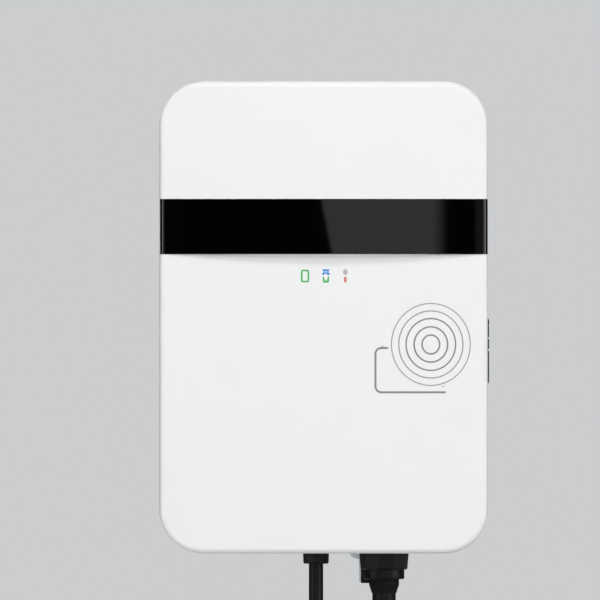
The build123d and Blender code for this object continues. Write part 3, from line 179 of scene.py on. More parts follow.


# %% [markdown]
# ## Finishes of the box
#
# The cover is a white semi-gloss moulding: bright, smooth, with a soft highlight. The rear
# housing is the same plastic in a duller texture and a shade greyer. The band across the visor
# is a black piano finish, so it is a mirror of whatever stands in front of the box, and its
# roughness is kept very low. The glands and the wedge are glass-filled nylon with a fine satin
# grain. The photograph shows the blacks with hardly any reflection, so their index is set to
# 1.28, below the 1.5 of a real plastic, which would make them too grey here.

# %% Finishes of the box
DULL_BLACK_IOR = 1.28
white_cover = surface("white_cover", (0.85, 0.848, 0.846), 0.42, depth=0.002 * MM, drift=0.004,
                      ior=1.42)
pale_housing = surface("pale_housing", (0.70, 0.705, 0.71), 0.48, grain=0.5 * MM,
                       depth=0.02 * MM, drift=0.01)
black_band = surface("black_band", (0.0006, 0.0006, 0.0007), 0.022, depth=0.0001 * MM, spread=0.004)
black_nylon = surface("black_nylon", (0.0035, 0.0035, 0.0038), 0.40, grain=0.25 * MM,
                      depth=0.015 * MM, drift=0.2, ior=DULL_BLACK_IOR)
black_rubber = surface("black_rubber", (0.0035, 0.0035, 0.0035), 0.62, grain=0.2 * MM,
                       depth=0.02 * MM, drift=0.25, ior=DULL_BLACK_IOR)
zinc = surface("zinc_plate", (0.60, 0.63, 0.66), 0.34, grain=1.2 * MM, depth=0.01 * MM, drift=0.12,
               metallic=1.0)
screw_steel = surface("screw_steel", (0.58, 0.57, 0.55), 0.28, grain=0.3 * MM, depth=0.004 * MM,
                      metallic=1.0)
wear(white_cover, "front_cover")
wear(pale_housing, "rear_housing")
wear(black_band, "band_lens")
wear(black_nylon, "window_bezel", "supply_gland_body", "supply_gland_nut", "supply_gland_locknut",
     "charging_gland_body", "charging_gland_nut", "charging_gland_locknut", "gland_collar", "lock_wedge")
wear(black_rubber, "cover_seal", "window_gasket", "supply_gland_seal", "charging_gland_seal",
     "bend_relief_boot")
wear(zinc, "wall_bracket", "rail_bracket", "din_rail")
wear(screw_steel, "cover_screws", "window_hinge_pin", "breaker_terminal_screws", "board_screws",
     "terminal_screws", "plug_screws")

# %% [markdown]
# ## Finishes of the works
#
# Behind the cover and the smoked window sit a grey modular breaker, green boards and their
# black, blue and tinned parts. The window leaf is smoked polycarbonate: real transmission with
# a dark tint lets the breaker show through it, where a flat dark colour would look painted.

# %% Finishes of the works
breaker_grey = surface("breaker_grey", (0.62, 0.64, 0.66), 0.5, depth=0.02 * MM, drift=0.02)
toggle_blue = surface("toggle_blue", (0.03, 0.10, 0.34), 0.32, drift=0.05)
button_yellow = surface("button_yellow", (0.66, 0.52, 0.07), 0.36, drift=0.05)
board_green = surface("board_green", (0.02, 0.15, 0.06), 0.3, grain=0.8 * MM, depth=0.01 * MM,
                      drift=0.12)
brass = surface("turned_brass", (0.72, 0.53, 0.24), 0.26, metallic=1.0, depth=0.004 * MM)
contact_silver = surface("contact_silver", (0.78, 0.77, 0.74), 0.22, metallic=1.0, depth=0.003 * MM)
capacitor_can = surface("capacitor_can", (0.66, 0.67, 0.69), 0.3, metallic=1.0, depth=0.006 * MM)
sensor_plastic = surface("sensor_plastic", (0.03, 0.06, 0.17), 0.4)
wear(breaker_grey, "breaker_body", "terminal_block")
wear(toggle_blue, "breaker_toggle")
wear(button_yellow, "breaker_test_button")
wear(board_green, "main_board", "light_board", "reader_board")
wear(brass, "board_standoffs")
wear(contact_silver, "contact_sleeves", "core_ferrules")
wear(capacitor_can, "capacitors")
wear(sensor_plastic, "current_sensor")
wear(black_nylon, "power_relays", "power_supply")


POLYCARBONATE_IOR = 1.58


def clear_moulding(name, tint, roughness, transmission):
    """A transparent moulding with a tint and a faint waviness."""
    material = surface(name, tint, roughness, grain=2.0 * MM, depth=0.004 * MM, drift=0.02, spread=0.01)
    shader = material.node_tree.nodes["Principled BSDF"]
    shader.inputs["Transmission Weight"].default_value = transmission
    shader.inputs["IOR"].default_value = POLYCARBONATE_IOR
    return material


smoked_leaf = clear_moulding("smoked_leaf", (0.17, 0.174, 0.178), 0.05, 0.85)
clear_guide = clear_moulding("clear_guide", (0.93, 0.94, 0.95), 0.08, 0.9)
wear(smoked_leaf, "window_leaf")
wear(clear_guide, "light_guides")

# %% [markdown]
# ## Plug and straps
#
# The car plug is a satin black moulding; its grip shells have a coarser, softer grain than the
# hard nose. The straps are woven. Real threads about a millimetre apart would cost many thousand
# faces for little that shows, so two crossed waves make ribs and cross threads in bump.

# %% Plug and straps
grip_black = surface("grip_black", (0.007, 0.007, 0.0073), 0.5, grain=0.6 * MM, depth=0.05 * MM,
                     drift=0.12, ior=DULL_BLACK_IOR)
plug_black = surface("plug_black", (0.005, 0.005, 0.0053), 0.33, grain=0.25 * MM,
                     depth=0.012 * MM, drift=0.12, ior=DULL_BLACK_IOR)
tie_nylon = surface("tie_nylon", (0.016, 0.016, 0.016), 0.3, grain=0.8 * MM, depth=0.02 * MM,
                    drift=0.1, ior=DULL_BLACK_IOR)
ribbon_grey = surface("ribbon_grey", (0.42, 0.43, 0.44), 0.45, grain=0.6 * MM, depth=0.03 * MM,
                      drift=0.08)
wear(grip_black, "plug_front_shell", "plug_back_shell")
wear(plug_black, "plug_cable_nut", "plug_nose", "contact_carrier")
wear(tie_nylon, "supply_coil_ties")
wear(ribbon_grey, "ribbon_cable")


BANDS_PER_UNIT = 3.2
THREAD_HEIGHT = 0.15 * MM


def woven(name, colour, pitch):
    """A woven band: two crossed waves in bump over a matte cloth."""
    material = surface(name, colour, 0.85, drift=0.2)
    tree = material.node_tree
    place = tree.nodes.new("ShaderNodeTexCoord")
    heights = tree.nodes.new("ShaderNodeMath")
    heights.operation = "ADD"
    for slot_index, direction in enumerate(("DIAGONAL", "Y")):
        wave = tree.nodes.new("ShaderNodeTexWave")
        wave.bands_direction = direction
        wave.inputs["Scale"].default_value = 1.0 / (pitch * BANDS_PER_UNIT)
        link(tree, place.outputs["Object"], wave.inputs["Vector"])
        link(tree, wave.outputs["Fac"], heights.inputs[slot_index])
    bump = tree.nodes.new("ShaderNodeBump")
    bump.inputs["Distance"].default_value = THREAD_HEIGHT
    link(tree, heights.outputs[0], bump.inputs["Height"])
    link(tree, bump.outputs["Normal"], tree.nodes["Principled BSDF"].inputs["Normal"])
    return material


strap_fabric = woven("strap_fabric", (0.028, 0.028, 0.030), 1.2 * MM)
wear(strap_fabric, "charging_coil_straps")

# %% [markdown]
# ## Wires
#
# Wires are told apart by colour: brown and blue are plain, and the earth has a yellow stripe
# that winds round its green. A wave with hard steps draws that stripe. The lead's three bare
# cores are one piece, so its material picks the colour from the place of each core round the
# lead's middle line, which needs no seam in the mesh.

# %% Helpers for wire colours
BROWN, BLUE = (0.13, 0.045, 0.018), (0.02, 0.11, 0.42)
EARTH_GREEN, EARTH_YELLOW = (0.05, 0.30, 0.05), (0.62, 0.50, 0.03)
GREEN_SHARE = 0.6
STRIPE_PITCH = 6 * MM
BLUE_CORE_BEHIND = 0.8 * MM


def earth_colour(tree, pitch):
    """A green and yellow stripe, as an output socket of the tree."""
    place = tree.nodes.new("ShaderNodeTexCoord")
    wave = tree.nodes.new("ShaderNodeTexWave")
    wave.bands_direction = "DIAGONAL"
    wave.inputs["Scale"].default_value = 1.0 / (pitch * BANDS_PER_UNIT)
    link(tree, place.outputs["Object"], wave.inputs["Vector"])
    stripe = tree.nodes.new("ShaderNodeValToRGB")
    stripe.color_ramp.interpolation = "CONSTANT"
    stripe.color_ramp.elements[0].color = (*EARTH_GREEN, 1)
    stripe.color_ramp.elements[1].position = GREEN_SHARE
    stripe.color_ramp.elements[1].color = (*EARTH_YELLOW, 1)
    link(tree, wave.outputs["Fac"], stripe.inputs["Fac"])
    return stripe.outputs["Color"]


def side_test(tree, axis, beyond):
    """1 where the object's own coordinate is past a value, else 0, as an output socket."""
    place = tree.nodes.new("ShaderNodeTexCoord")
    parts = tree.nodes.new("ShaderNodeSeparateXYZ")
    link(tree, place.outputs["Object"], parts.inputs[0])
    test = tree.nodes.new("ShaderNodeMath")
    test.operation = "GREATER_THAN"
    link(tree, parts.outputs[axis], test.inputs[0])
    test.inputs[1].default_value = beyond
    return test.outputs[0]


def choose(tree, factor, first, second):
    """Mix two colours, each a socket or a plain colour, by a factor socket."""
    mix = tree.nodes.new("ShaderNodeMix")
    mix.data_type = "RGBA"
    link(tree, factor, mix.inputs[0])
    for colour, entry in ((first, mix.inputs[6]), (second, mix.inputs[7])):
        if isinstance(colour, tuple):
            entry.default_value = (*colour, 1)
        else:
            link(tree, colour, entry)
    return mix.outputs[2]


print("earth stripe every", STRIPE_PITCH / MM, "mm")

# %% [markdown]
# The six short wires inside the box come first. Their sheaths are plain soft plastic.

# %% Wires in the box
brown_sheath = surface("brown_sheath", BROWN, 0.35, drift=0.06)
blue_sheath = surface("blue_sheath", BLUE, 0.35, drift=0.06)
earth_sheath = surface("earth_sheath", EARTH_GREEN, 0.35)
tree = earth_sheath.node_tree
link(tree, earth_colour(tree, STRIPE_PITCH), tree.nodes["Principled BSDF"].inputs["Base Color"])
wear(brown_sheath, "phase_wires")
wear(blue_sheath, "neutral_wires")
wear(earth_sheath, "earth_wires")

# %% [markdown]
# The three cores at the lead's bare end share one material. Two tests of place choose between
# the colours: behind the middle line a core is blue, and in front of it the left one is brown
# and the right one is the earth.

# %% Bare cores
core_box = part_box("supply_cores")
core_middle_x = (core_box[0][0] + core_box[1][0]) / 2
tail_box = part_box("supply_lead_tail")
core_middle_y = (tail_box[0][1] + tail_box[1][1]) / 2
core_sheath = surface("core_sheath", BROWN, 0.35)
tree = core_sheath.node_tree
right_half = choose(tree, side_test(tree, "X", core_middle_x), BROWN, earth_colour(tree, STRIPE_PITCH))
whole = choose(tree, side_test(tree, "Y", core_middle_y + BLUE_CORE_BEHIND), right_half, BLUE)
link(tree, whole, tree.nodes["Principled BSDF"].inputs["Base Color"])
wear(core_sheath, "supply_cores")
print("core colours split at", round(core_middle_x, 4), round(core_middle_y, 4))

# %% [markdown]
# ## Cords
#
# Two cords leave the underside. The thin one is the supply lead, a metre long with a bare end.
# The thick one is the charging cable, five metres long, with the car plug. The photograph
# shows only their first centimetre, straight down, so the rest is put away as for storage in
# two neat coils just below the picture, each held by bands, and both ends hang straight.
#
# A cord is a fixed length of something flexible, so each is one smooth NURBS curve with a
# round bevel. Its straight stretches have a few listed points. The coil's turns are
# worked out in a loop: turn by turn the cord steps from one place in the bundle to the next,
# and it makes each step in the last quarter of a turn.

# %% A helper that works out a coil's turns
TURN_POINTS = 24
STEP_FROM = 0.75
CURVE_PULL = 1 / 0.9915


def coil_points(centre, start_angle, direction, places):
    """Points round a coil. places holds the radius and the Y of each turn, and of where it leaves."""
    points = []
    for step in range(1, TURN_POINTS * (len(places) - 1)):
        turn, part = divmod(step / TURN_POINTS, 1.0)
        here = places[int(turn)]
        after = places[int(turn) + 1]
        ease = max(0.0, (part - STEP_FROM) / (1 - STEP_FROM))
        ease = ease * ease * (3 - 2 * ease)
        radius = (here[0] + (after[0] - here[0]) * ease) * CURVE_PULL
        y = here[1] + (after[1] - here[1]) * ease
        angle = start_angle + direction * 2 * math.pi * step / TURN_POINTS
        points.append((centre[0] + radius * math.cos(angle), y, centre[1] + radius * math.sin(angle)))
    print("coil of", len(places) - 1, "turns round", [round(v, 4) for v in centre])
    return points


# %% [markdown]
# The curve's order is set after its points are added. Set before, Blender leaves it at straight
# runs. A NURBS curve cuts a little inside its control points, so the coil's points were put
# further out by the share that CURVE_PULL gives.

# %% A helper that lays one cord
BEVEL_ROUNDS = 5
CURVE_STEPS = 3


def lay_cord(name, points, diameter, material):
    """One open NURBS curve with a round bevel, pulled towards these control points."""
    data = bpy.data.curves.new(name, "CURVE")
    data.dimensions = "3D"
    data.bevel_depth = diameter / 2
    data.bevel_resolution = BEVEL_ROUNDS
    data.use_fill_caps = True
    spline = data.splines.new("NURBS")
    spline.points.add(len(points) - 1)
    for point, place in zip(spline.points, points):
        point.co = (*place, 1.0)
    spline.order_u = 3
    spline.use_endpoint_u = True
    spline.resolution_u = CURVE_STEPS
    data.materials.append(material)
    cord = bpy.data.objects.new(name, data)
    bpy.context.scene.collection.objects.link(cord)
    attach(cord, "wallbox")
    print(name, "has", len(spline.points), "points")
    return cord


# %% [markdown]
# A cable sheath is extruded rubber or soft plastic with a dull, slightly greasy gloss. It is
# duller and a little coarser on the thick cable than on the thin lead.

# %% Sheaths
cable_sheath = surface("cable_sheath", (0.0045, 0.0045, 0.0047), 0.46, grain=0.5 * MM,
                       depth=0.03 * MM, drift=0.15, ior=DULL_BLACK_IOR)
lead_sheath = surface("lead_sheath", (0.0045, 0.0045, 0.0047), 0.40, grain=0.4 * MM,
                      depth=0.02 * MM, drift=0.15, ior=DULL_BLACK_IOR)
print("sheaths", cable_sheath.name, "and", lead_sheath.name)

# %% [markdown]
# The charging cable goes down to the outer place at the back of its bundle, winds through the
# four inner places from back to front, then over the outer ones, and leaves downwards.

# %% Charging cable
CABLE_D = 18 * MM
CABLE_X = 46.6 * MM
GLAND_Y = -29 * MM
CABLE_ABOVE_Z = (-196, -228, -262, -300, -330, -352)
CABLE_BELOW_Z = (-372, -394, -424, -458, -492, -522, -545)
COIL_Z = -362 * MM
COIL_INNER = 99 * MM
COIL_OUTER = COIL_INNER + CABLE_D
rows = [GLAND_Y - k * CABLE_D for k in range(4)]
bundle = [(COIL_OUTER, rows[0]), (COIL_INNER, rows[0]), (COIL_INNER, rows[1]), (COIL_INNER, rows[2]),
          (COIL_INNER, rows[3]), (COIL_OUTER, rows[3]), (COIL_OUTER, rows[2]), (COIL_OUTER, rows[2])]
coil_centre = (CABLE_X + COIL_OUTER, COIL_Z)
above = [(CABLE_X, rows[0], z * MM) for z in CABLE_ABOVE_Z]
below = [(CABLE_X, rows[2], z * MM) for z in CABLE_BELOW_Z]
cable = lay_cord("charging_cable_run", above + coil_points(coil_centre, math.pi, 1, bundle) + below,
                 CABLE_D, cable_sheath)
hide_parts("charging_cable", "charging_cable_coil", "charging_cable_tail")

# %% [markdown]
# The plug is pulled by its grip, so its two shells carry shallow level ribs. They are real
# strips of mesh: each follows the flared grip, whose radius is found by casting a ray at the
# shell, and sinks into the shell before it reaches the joint line.

# %% Grip ribs
RIB_PITCH = 4.5 * MM
RIB_SECTION = [(-0.9 * MM, -0.2 * MM), (-0.45 * MM, 0.4 * MM), (0, 0.55 * MM), (0.45 * MM, 0.4 * MM),
               (0.9 * MM, -0.2 * MM)]
RIB_COLUMNS = 28
SEAM_ANGLE = math.radians(6)
PLAIN_BELOW, PLAIN_ABOVE = 40 * MM, 18 * MM
RAY_START = 0.2
plug_axis = (CABLE_X, rows[2])
grip_low, grip_high = (corner[2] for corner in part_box("plug_front_shell"))


def grip_point(shell, angle, z, lift):
    """A point this far above the shell's surface, at an angle round the plug's axis."""
    out = Vector((math.cos(angle), math.sin(angle), 0))
    axis = Vector((*plug_axis, z))
    hit, place, _, _ = shell.ray_cast(axis + RAY_START * out, -out)
    return place + lift * out if hit else axis


ribs_mesh = bpy.data.meshes.new("plug_grip_ribs")
shape = bmesh.new()
for node_name, first_angle in (("plug_back_shell", 0.0), ("plug_front_shell", math.pi)):
    rib_z = grip_low + PLAIN_BELOW
    while rib_z < grip_high - PLAIN_ABOVE:
        columns = []
        for i in range(RIB_COLUMNS + 1):
            angle = first_angle + SEAM_ANGLE + (math.pi - 2 * SEAM_ANGLE) * i / RIB_COLUMNS
            sunk = i in (0, RIB_COLUMNS)
            columns.append([shape.verts.new(grip_point(nodes[node_name], angle, rib_z + dz,
                                                       RIB_SECTION[0][1] if sunk else lift))
                            for dz, lift in RIB_SECTION])
        for left, right in zip(columns, columns[1:]):
            for k in range(len(RIB_SECTION)):
                shape.faces.new((left[k - 1], right[k - 1], right[k], left[k]))
        rib_z += RIB_PITCH
bmesh.ops.recalc_face_normals(shape, faces=shape.faces)
shape.to_mesh(ribs_mesh)
shape.free()
ribs_mesh.materials.append(grip_black)
for face in ribs_mesh.polygons:
    face.use_smooth = True
ribs = bpy.data.objects.new("plug_grip_ribs", ribs_mesh)
bpy.context.scene.collection.objects.link(ribs)
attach(ribs, "wallbox")
print("grip ribs", len(ribs_mesh.polygons), "faces")

# %% [markdown]
# The supply lead is thinner and stiff for its size. Two turns take up what the photograph
# doesn't show, and it ends bare: the sheath is cut back and three cores stick out, each in a
# crimped ferrule.

# %% Supply lead
LEAD_D = 11 * MM
LEAD_X = -5.5 * MM
LEAD_ABOVE_Z = (-172, -196, -222, -250, -274, -286)
LEAD_BELOW_Z = (-298, -312, -334, -360)
LEAD_COIL_Z = -292 * MM
LEAD_RADIUS = 60.5 * MM
sheath_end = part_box("supply_lead_tail")[0][2]
lead_rows = [GLAND_Y - k * LEAD_D for k in range(3)]
lead_places = [(LEAD_RADIUS, y) for y in lead_rows]
lead_above = [(LEAD_X, lead_rows[0], z * MM) for z in LEAD_ABOVE_Z]
lead_below = [(LEAD_X, lead_rows[2], z * MM) for z in LEAD_BELOW_Z]
lead_below.append((LEAD_X, lead_rows[2], sheath_end))
lead_centre = (LEAD_X - LEAD_RADIUS, LEAD_COIL_Z)
lead = lay_cord("supply_lead_run", lead_above + coil_points(lead_centre, 0.0, -1, lead_places) + lead_below,
                LEAD_D, lead_sheath)
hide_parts("supply_lead", "supply_lead_coil", "supply_lead_tail")

# %% [markdown]
# ## Marks on the cover
#
# The marks are pad-printed: a few hundredths of a millimetre of ink on the curved panel. A
# texture image could carry them, but a thin mesh that follows the panel stays sharp at any
# distance. The panel's face is an arc in plan, so a small function gives its depth at any X,
# and every mark is drawn flat and then laid on it.

# %% Ink and the surface that it lies on
PANEL_CROWN = 5 * MM
SIDE_DEPTH = 98 * MM
HALF_WIDTH = 125 * MM
PANEL_RADIUS = (HALF_WIDTH ** 2 + PANEL_CROWN ** 2) / (2 * PANEL_CROWN)
INK_LIFT = 0.04 * MM
INK_ROUGHNESS = 0.35
WELD = 0.001 * MM


def panel_y(x):
    """The Y of the lower panel's face at this X."""
    return -(SIDE_DEPTH + PANEL_CROWN - PANEL_RADIUS + math.sqrt(PANEL_RADIUS ** 2 - x ** 2))


def ink(name, colour):
    """A printing ink with a soft gloss."""
    return surface(name, colour, INK_ROUGHNESS, depth=0.002 * MM, drift=0.05)


def printed(name, strips, material, lift=INK_LIFT):
    """A printed mark made of strips. A strip is two equal rows of (x, z) points, side by side."""
    mesh = bpy.data.meshes.new(name)
    shape = bmesh.new()
    for left, right in strips:
        rows_here = [[shape.verts.new((x, panel_y(x) - lift, z)) for x, z in row] for row in (left, right)]
        for i in range(len(left) - 1):
            shape.faces.new((rows_here[0][i], rows_here[0][i + 1], rows_here[1][i + 1], rows_here[1][i]))
    bmesh.ops.remove_doubles(shape, verts=shape.verts, dist=WELD)
    for face in shape.faces:
        face.normal_update()
        if face.normal.y > 0:
            face.normal_flip()
    shape.to_mesh(mesh)
    shape.free()
    mesh.materials.append(material)
    mark = bpy.data.objects.new(name, mesh)
    bpy.context.scene.collection.objects.link(mark)
    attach(mark, "wallbox")
    print(name, len(mesh.polygons), "faces")


print("panel face at its middle", round(panel_y(0), 4))

# %% [markdown]
# A mark is built from strips: two equal rows of points with faces between them. A ring, a line
# and an arc are the three shapes that the card reader's mark needs.

# %% Helpers that draw strips
RING_STEPS = 96
ARC_STEPS = 8


def ring_strip(cx, cz, rx, rz, width):
    """A strip along a whole ellipse."""
    angles = [2 * math.pi * i / RING_STEPS for i in range(RING_STEPS + 1)]
    return tuple([(cx + (rx + side * width / 2) * math.cos(a), cz + (rz + side * width / 2) * math.sin(a))
                  for a in angles] for side in (1, -1))


def line_strip(points, width):
    """A strip along an open line of points. Its corners are as round as the points make them."""
    rows_here = ([], [])
    for i, (x, z) in enumerate(points):
        ax, az = points[max(i - 1, 0)]
        bx, bz = points[min(i + 1, len(points) - 1)]
        size = math.hypot(bx - ax, bz - az)
        nx, nz = -(bz - az) / size * width / 2, (bx - ax) / size * width / 2
        rows_here[0].append((x + nx, z + nz))
        rows_here[1].append((x - nx, z - nz))
    return rows_here


def arc_points(cx, cz, radius, start, end):
    """Points along a circular arc, with angles in degrees."""
    angles = [math.radians(start + (end - start) * i / ARC_STEPS) for i in range(ARC_STEPS + 1)]
    return [(cx + radius * math.cos(a), cz + radius * math.sin(a)) for a in angles]


print("a ring has", RING_STEPS, "steps and a corner", ARC_STEPS)

# %% [markdown]
# The five rings round the place where a card is held are a little taller than they are wide.
# The two outer lines are thinner and paler than the three inner ones. The card itself is an
# open outline with rounded corners that stops short of the rings.

# %% Card reader mark
grey_ink = ink("grey_ink", (0.21, 0.215, 0.22))
pale_ink = ink("pale_ink", (0.30, 0.305, 0.31))
card_ink = ink("card_ink", (0.22, 0.235, 0.245))
RING_CENTRE = (81.6 * MM, -20.5 * MM)
inner_rings = ((6.7, 7.2, 1.15), (12.8, 13.45, 1.15), (18.9, 19.8, 1.05))
outer_rings = ((24.5, 25.6, 0.9), (30.1, 31.25, 0.8))
printed("tap_rings_inner", [ring_strip(*RING_CENTRE, rx * MM, rz * MM, w * MM) for rx, rz, w in inner_rings],
        grey_ink)
printed("tap_rings_outer", [ring_strip(*RING_CENTRE, rx * MM, rz * MM, w * MM) for rx, rz, w in outer_rings],
        pale_ink)

CARD_LEFT, CARD_TOP, CARD_BOTTOM = 39.3 * MM, -23.2 * MM, -57.0 * MM
CARD_TOP_END, CARD_BOTTOM_END, CARD_R = 49.0 * MM, 93.0 * MM, 4.4 * MM
BOTTOM_STEPS = 24
CARD_LINE = 1.5 * MM
bottom_run = CARD_BOTTOM_END - CARD_LEFT - CARD_R
card_line = ([(CARD_TOP_END, CARD_TOP)]
             + arc_points(CARD_LEFT + CARD_R, CARD_TOP - CARD_R, CARD_R, 90, 180)
             + arc_points(CARD_LEFT + CARD_R, CARD_BOTTOM + CARD_R, CARD_R, 180, 270)
             + [(CARD_LEFT + CARD_R + bottom_run * i / BOTTOM_STEPS, CARD_BOTTOM)
                for i in range(1, BOTTOM_STEPS + 1)])
printed("card_outline", [line_strip(card_line, CARD_LINE)], card_ink)

# %% [markdown]
# The three status signs sit close under the visor: a green battery outline, a blue plug over a
# green cup with a white drop in it, and a muted dot over a red bar. Each is a few strips of ink.
# Where two inks lie on each other, the upper one is lifted twice as far, as a second pass of the
# pad would be.

# %% Inks of the signs
green_ink = ink("green_ink", (0.06, 0.46, 0.12))
blue_ink = ink("blue_ink", (0.07, 0.27, 0.66))
mauve_ink = ink("mauve_ink", (0.48, 0.40, 0.43))
red_ink = ink("red_ink", (0.62, 0.20, 0.21))
white_ink = ink("white_ink", (0.90, 0.90, 0.902))
sky_ink = ink("sky_ink", (0.45, 0.66, 0.88))
print("inks", [one.name for one in (green_ink, blue_ink, mauve_ink, red_ink, white_ink, sky_ink)])


# %% [markdown]
# The signs need three more shapes: a closed loop with rounded corners, a filled bar and a
# filled disc. They are drawn in millimetres, which reads more easily at this size.

# %% Helpers for the signs
DISC_STEPS = 24


def rounded_loop(cx, cz, half_w, half_h, radius, width):
    """A strip round a rectangle with rounded corners."""
    line = []
    for sx, sz, start in ((1, 1, 0), (-1, 1, 90), (-1, -1, 180), (1, -1, 270)):
        line += arc_points(cx + sx * (half_w - radius), cz + sz * (half_h - radius),
                           radius, start, start + 90)
    line.append(line[0])
    strip = line_strip(line, width)
    for row in strip:
        row[0] = row[-1] = ((row[0][0] + row[-1][0]) / 2, (row[0][1] + row[-1][1]) / 2)
    return strip


def bar(x0, z0, x1, z1):
    """A filled rectangle."""
    return [(x0, z0), (x1, z0)], [(x0, z1), (x1, z1)]


def disc(cx, cz, rx, rz):
    """A filled ellipse as one strip from its left end to its right end."""
    angles = [math.pi * i / DISC_STEPS for i in range(DISC_STEPS + 1)]
    return tuple([(cx - rx * math.cos(a), cz + side * rz * math.sin(a)) for a in angles] for side in (1, -1))


def in_mm(strips):
    """The same strips, from millimetres to metres."""
    return [tuple([(x * MM, z * MM) for x, z in row] for row in strip) for strip in strips]


print("a disc has", DISC_STEPS, "steps")

# %% [markdown]
# The numbers below are each shape's place on the panel, measured from the box's middle, and its
# size, both in millimetres.

# %% Status signs
printed("sign_battery", in_mm([rounded_loop(-14.4, 31.7, 2.5, 4.25, 1.1, 1.35)]), green_ink)
printed("sign_cup", in_mm([rounded_loop(1.5, 29.3, 1.75, 2.05, 0.8, 1.3), bar(0.9, 28.0, 2.1, 28.7)]),
        green_ink)
printed("sign_plug", in_mm([bar(-0.85, 35.4, 3.85, 36.9), bar(-0.5, 34.1, 0.4, 35.4),
                            bar(2.6, 34.1, 3.5, 35.4), disc(1.5, 33.4, 3.05, 1.2)]), blue_ink)
printed("sign_crescent", in_mm([disc(1.5, 34.9, 1.35, 0.55)]), sky_ink, 2 * INK_LIFT)
printed("sign_drop", in_mm([disc(1.45, 31.3, 1.55, 2.1)]), white_ink, 2 * INK_LIFT)
printed("sign_dot", in_mm([disc(16.3, 34.75, 1.75, 2.1)]), mauve_ink)
printed("sign_bar", in_mm([disc(16.25, 30.4, 1.05, 0.9), bar(15.2, 27.7, 17.3, 30.4),
                           disc(16.25, 27.7, 1.05, 0.9)]), red_ink)

# %% [markdown]
# A tiny tick at the card's top corner and a faint dash near its lower end are part of the print
# as the photograph shows it, so they are laid as two more short lines of the same ink.

# %% Ticks by the card
printed("card_ticks", in_mm([line_strip([(44.9, -21.4), (43.9, -22.9), (42.9, -24.3)], 0.6),
                             line_strip([(90.0, -52.9), (91.0, -52.7), (92.0, -52.3)], 0.5)]), grey_ink)

# %% [markdown]
# ## Studio
#
# Soft area lamps stand in front of the box, and two weaker ones at its sides. The highest gives
# the most light, so that the visor throws a soft lens-shaped shadow on the panel below it. The
# middle and low ones fill that shadow and the cover's lower half until the white is even from
# top to bottom. They are set so that the white face stays just under full white. The last lamp
# stands behind the box and shows the back in the other views.

# %% Lamps
BOX_MIDDLE = (0, 0, -0.2)
LAMPS = (
    # name, place, what it points at, width and height, watts
    ("high_front", (-0.2, -1.7, 2.5), (0, 0, -0.15), (1.5, 0.8), 34.5),
    ("middle_front", (0.1, -2.6, 1.2), BOX_MIDDLE, (2.0, 1.2), 21.5),
    ("low_front", (0, -2.4, -0.4), BOX_MIDDLE, (2.0, 0.5), 4),
    ("left_side", (-2.0, -0.9, 0.1), BOX_MIDDLE, (0.8, 1.6), 9),
    ("right_side", (2.1, -0.9, 0.1), BOX_MIDDLE, (0.8, 1.6), 12),
    ("from_behind", (0.3, 1.8, 1.2), BOX_MIDDLE, (1.2, 1.0), 16),
)

for name, place, target, size, power in LAMPS:
    data = bpy.data.lights.new(name, "AREA")
    data.shape = "RECTANGLE"
    data.size, data.size_y = size
    data.energy = power
    obj = bpy.data.objects.new(name, data)
    bpy.context.scene.collection.objects.link(obj)
    obj.location = place
    obj.rotation_euler = (Vector(target) - Vector(place)).to_track_quat("-Z", "Y").to_euler()
    print(name, power, "W")

# %% [markdown]
# The world is a pale grey backdrop for the camera and for what is seen through clear plastic.
# For all other rays it is a dim white room. Glossy rays find it almost dark, so that the black
# band mirrors only the cards that are put in front of it below.

# %% World
PALE = (0.60, 0.61, 0.62)
ROOM_LIGHT, ROOM_IN_GLOSS = 0.30, 0.004
world = bpy.data.worlds.new("studio")
bpy.context.scene.world = world
world.use_nodes = True
tree = world.node_tree
tree.nodes.clear()
out = tree.nodes.new("ShaderNodeOutputWorld")
path = tree.nodes.new("ShaderNodeLightPath")
seen = tree.nodes.new("ShaderNodeMath")
seen.operation = "MAXIMUM"
link(tree, path.outputs["Is Camera Ray"], seen.inputs[0])
link(tree, path.outputs["Is Transmission Ray"], seen.inputs[1])
backdrop = tree.nodes.new("ShaderNodeBackground")
backdrop.inputs["Color"].default_value = (*PALE, 1)
backdrop.inputs["Strength"].default_value = 1.0
room = tree.nodes.new("ShaderNodeBackground")
room.inputs["Color"].default_value = (1, 1, 1, 1)
glossy = tree.nodes.new("ShaderNodeMapRange")
glossy.inputs["To Min"].default_value = ROOM_LIGHT
glossy.inputs["To Max"].default_value = ROOM_IN_GLOSS
link(tree, path.outputs["Is Glossy Ray"], glossy.inputs["Value"])
link(tree, glossy.outputs["Result"], room.inputs["Strength"])
mixed = tree.nodes.new("ShaderNodeMixShader")
link(tree, seen.outputs[0], mixed.inputs["Fac"])
link(tree, room.outputs[0], mixed.inputs[1])
link(tree, backdrop.outputs[0], mixed.inputs[2])
link(tree, mixed.outputs[0], out.inputs["Surface"])
print("backdrop", PALE, "room light", ROOM_LIGHT)

# %% [markdown]
# The floor is a plain pale sheet under the plug. Near the object it is real paint that takes the
# object's shadow. A sheet lit only by the lamps would go dark far away and draw a hard horizon,
# so for the camera it turns into the even grey of the backdrop, by distance from its middle.
# From below it is clear, so a low view looks through it.

# %% A helper for flat sheets
def flat_sheet(name, corners, material):
    """A flat sheet with these corners."""
    mesh = bpy.data.meshes.new(name)
    mesh.from_pydata(corners, [], [tuple(range(len(corners)))])
    mesh.materials.append(material)
    obj = bpy.data.objects.new(name, mesh)
    bpy.context.scene.collection.objects.link(obj)
    print("sheet", name, corners[0], "to", corners[2])
    return obj


# %% [markdown]
# The floor's paint is mixed in three steps: how far a point is from the middle, whether the
# camera sees it, and on which side of the sheet it is.

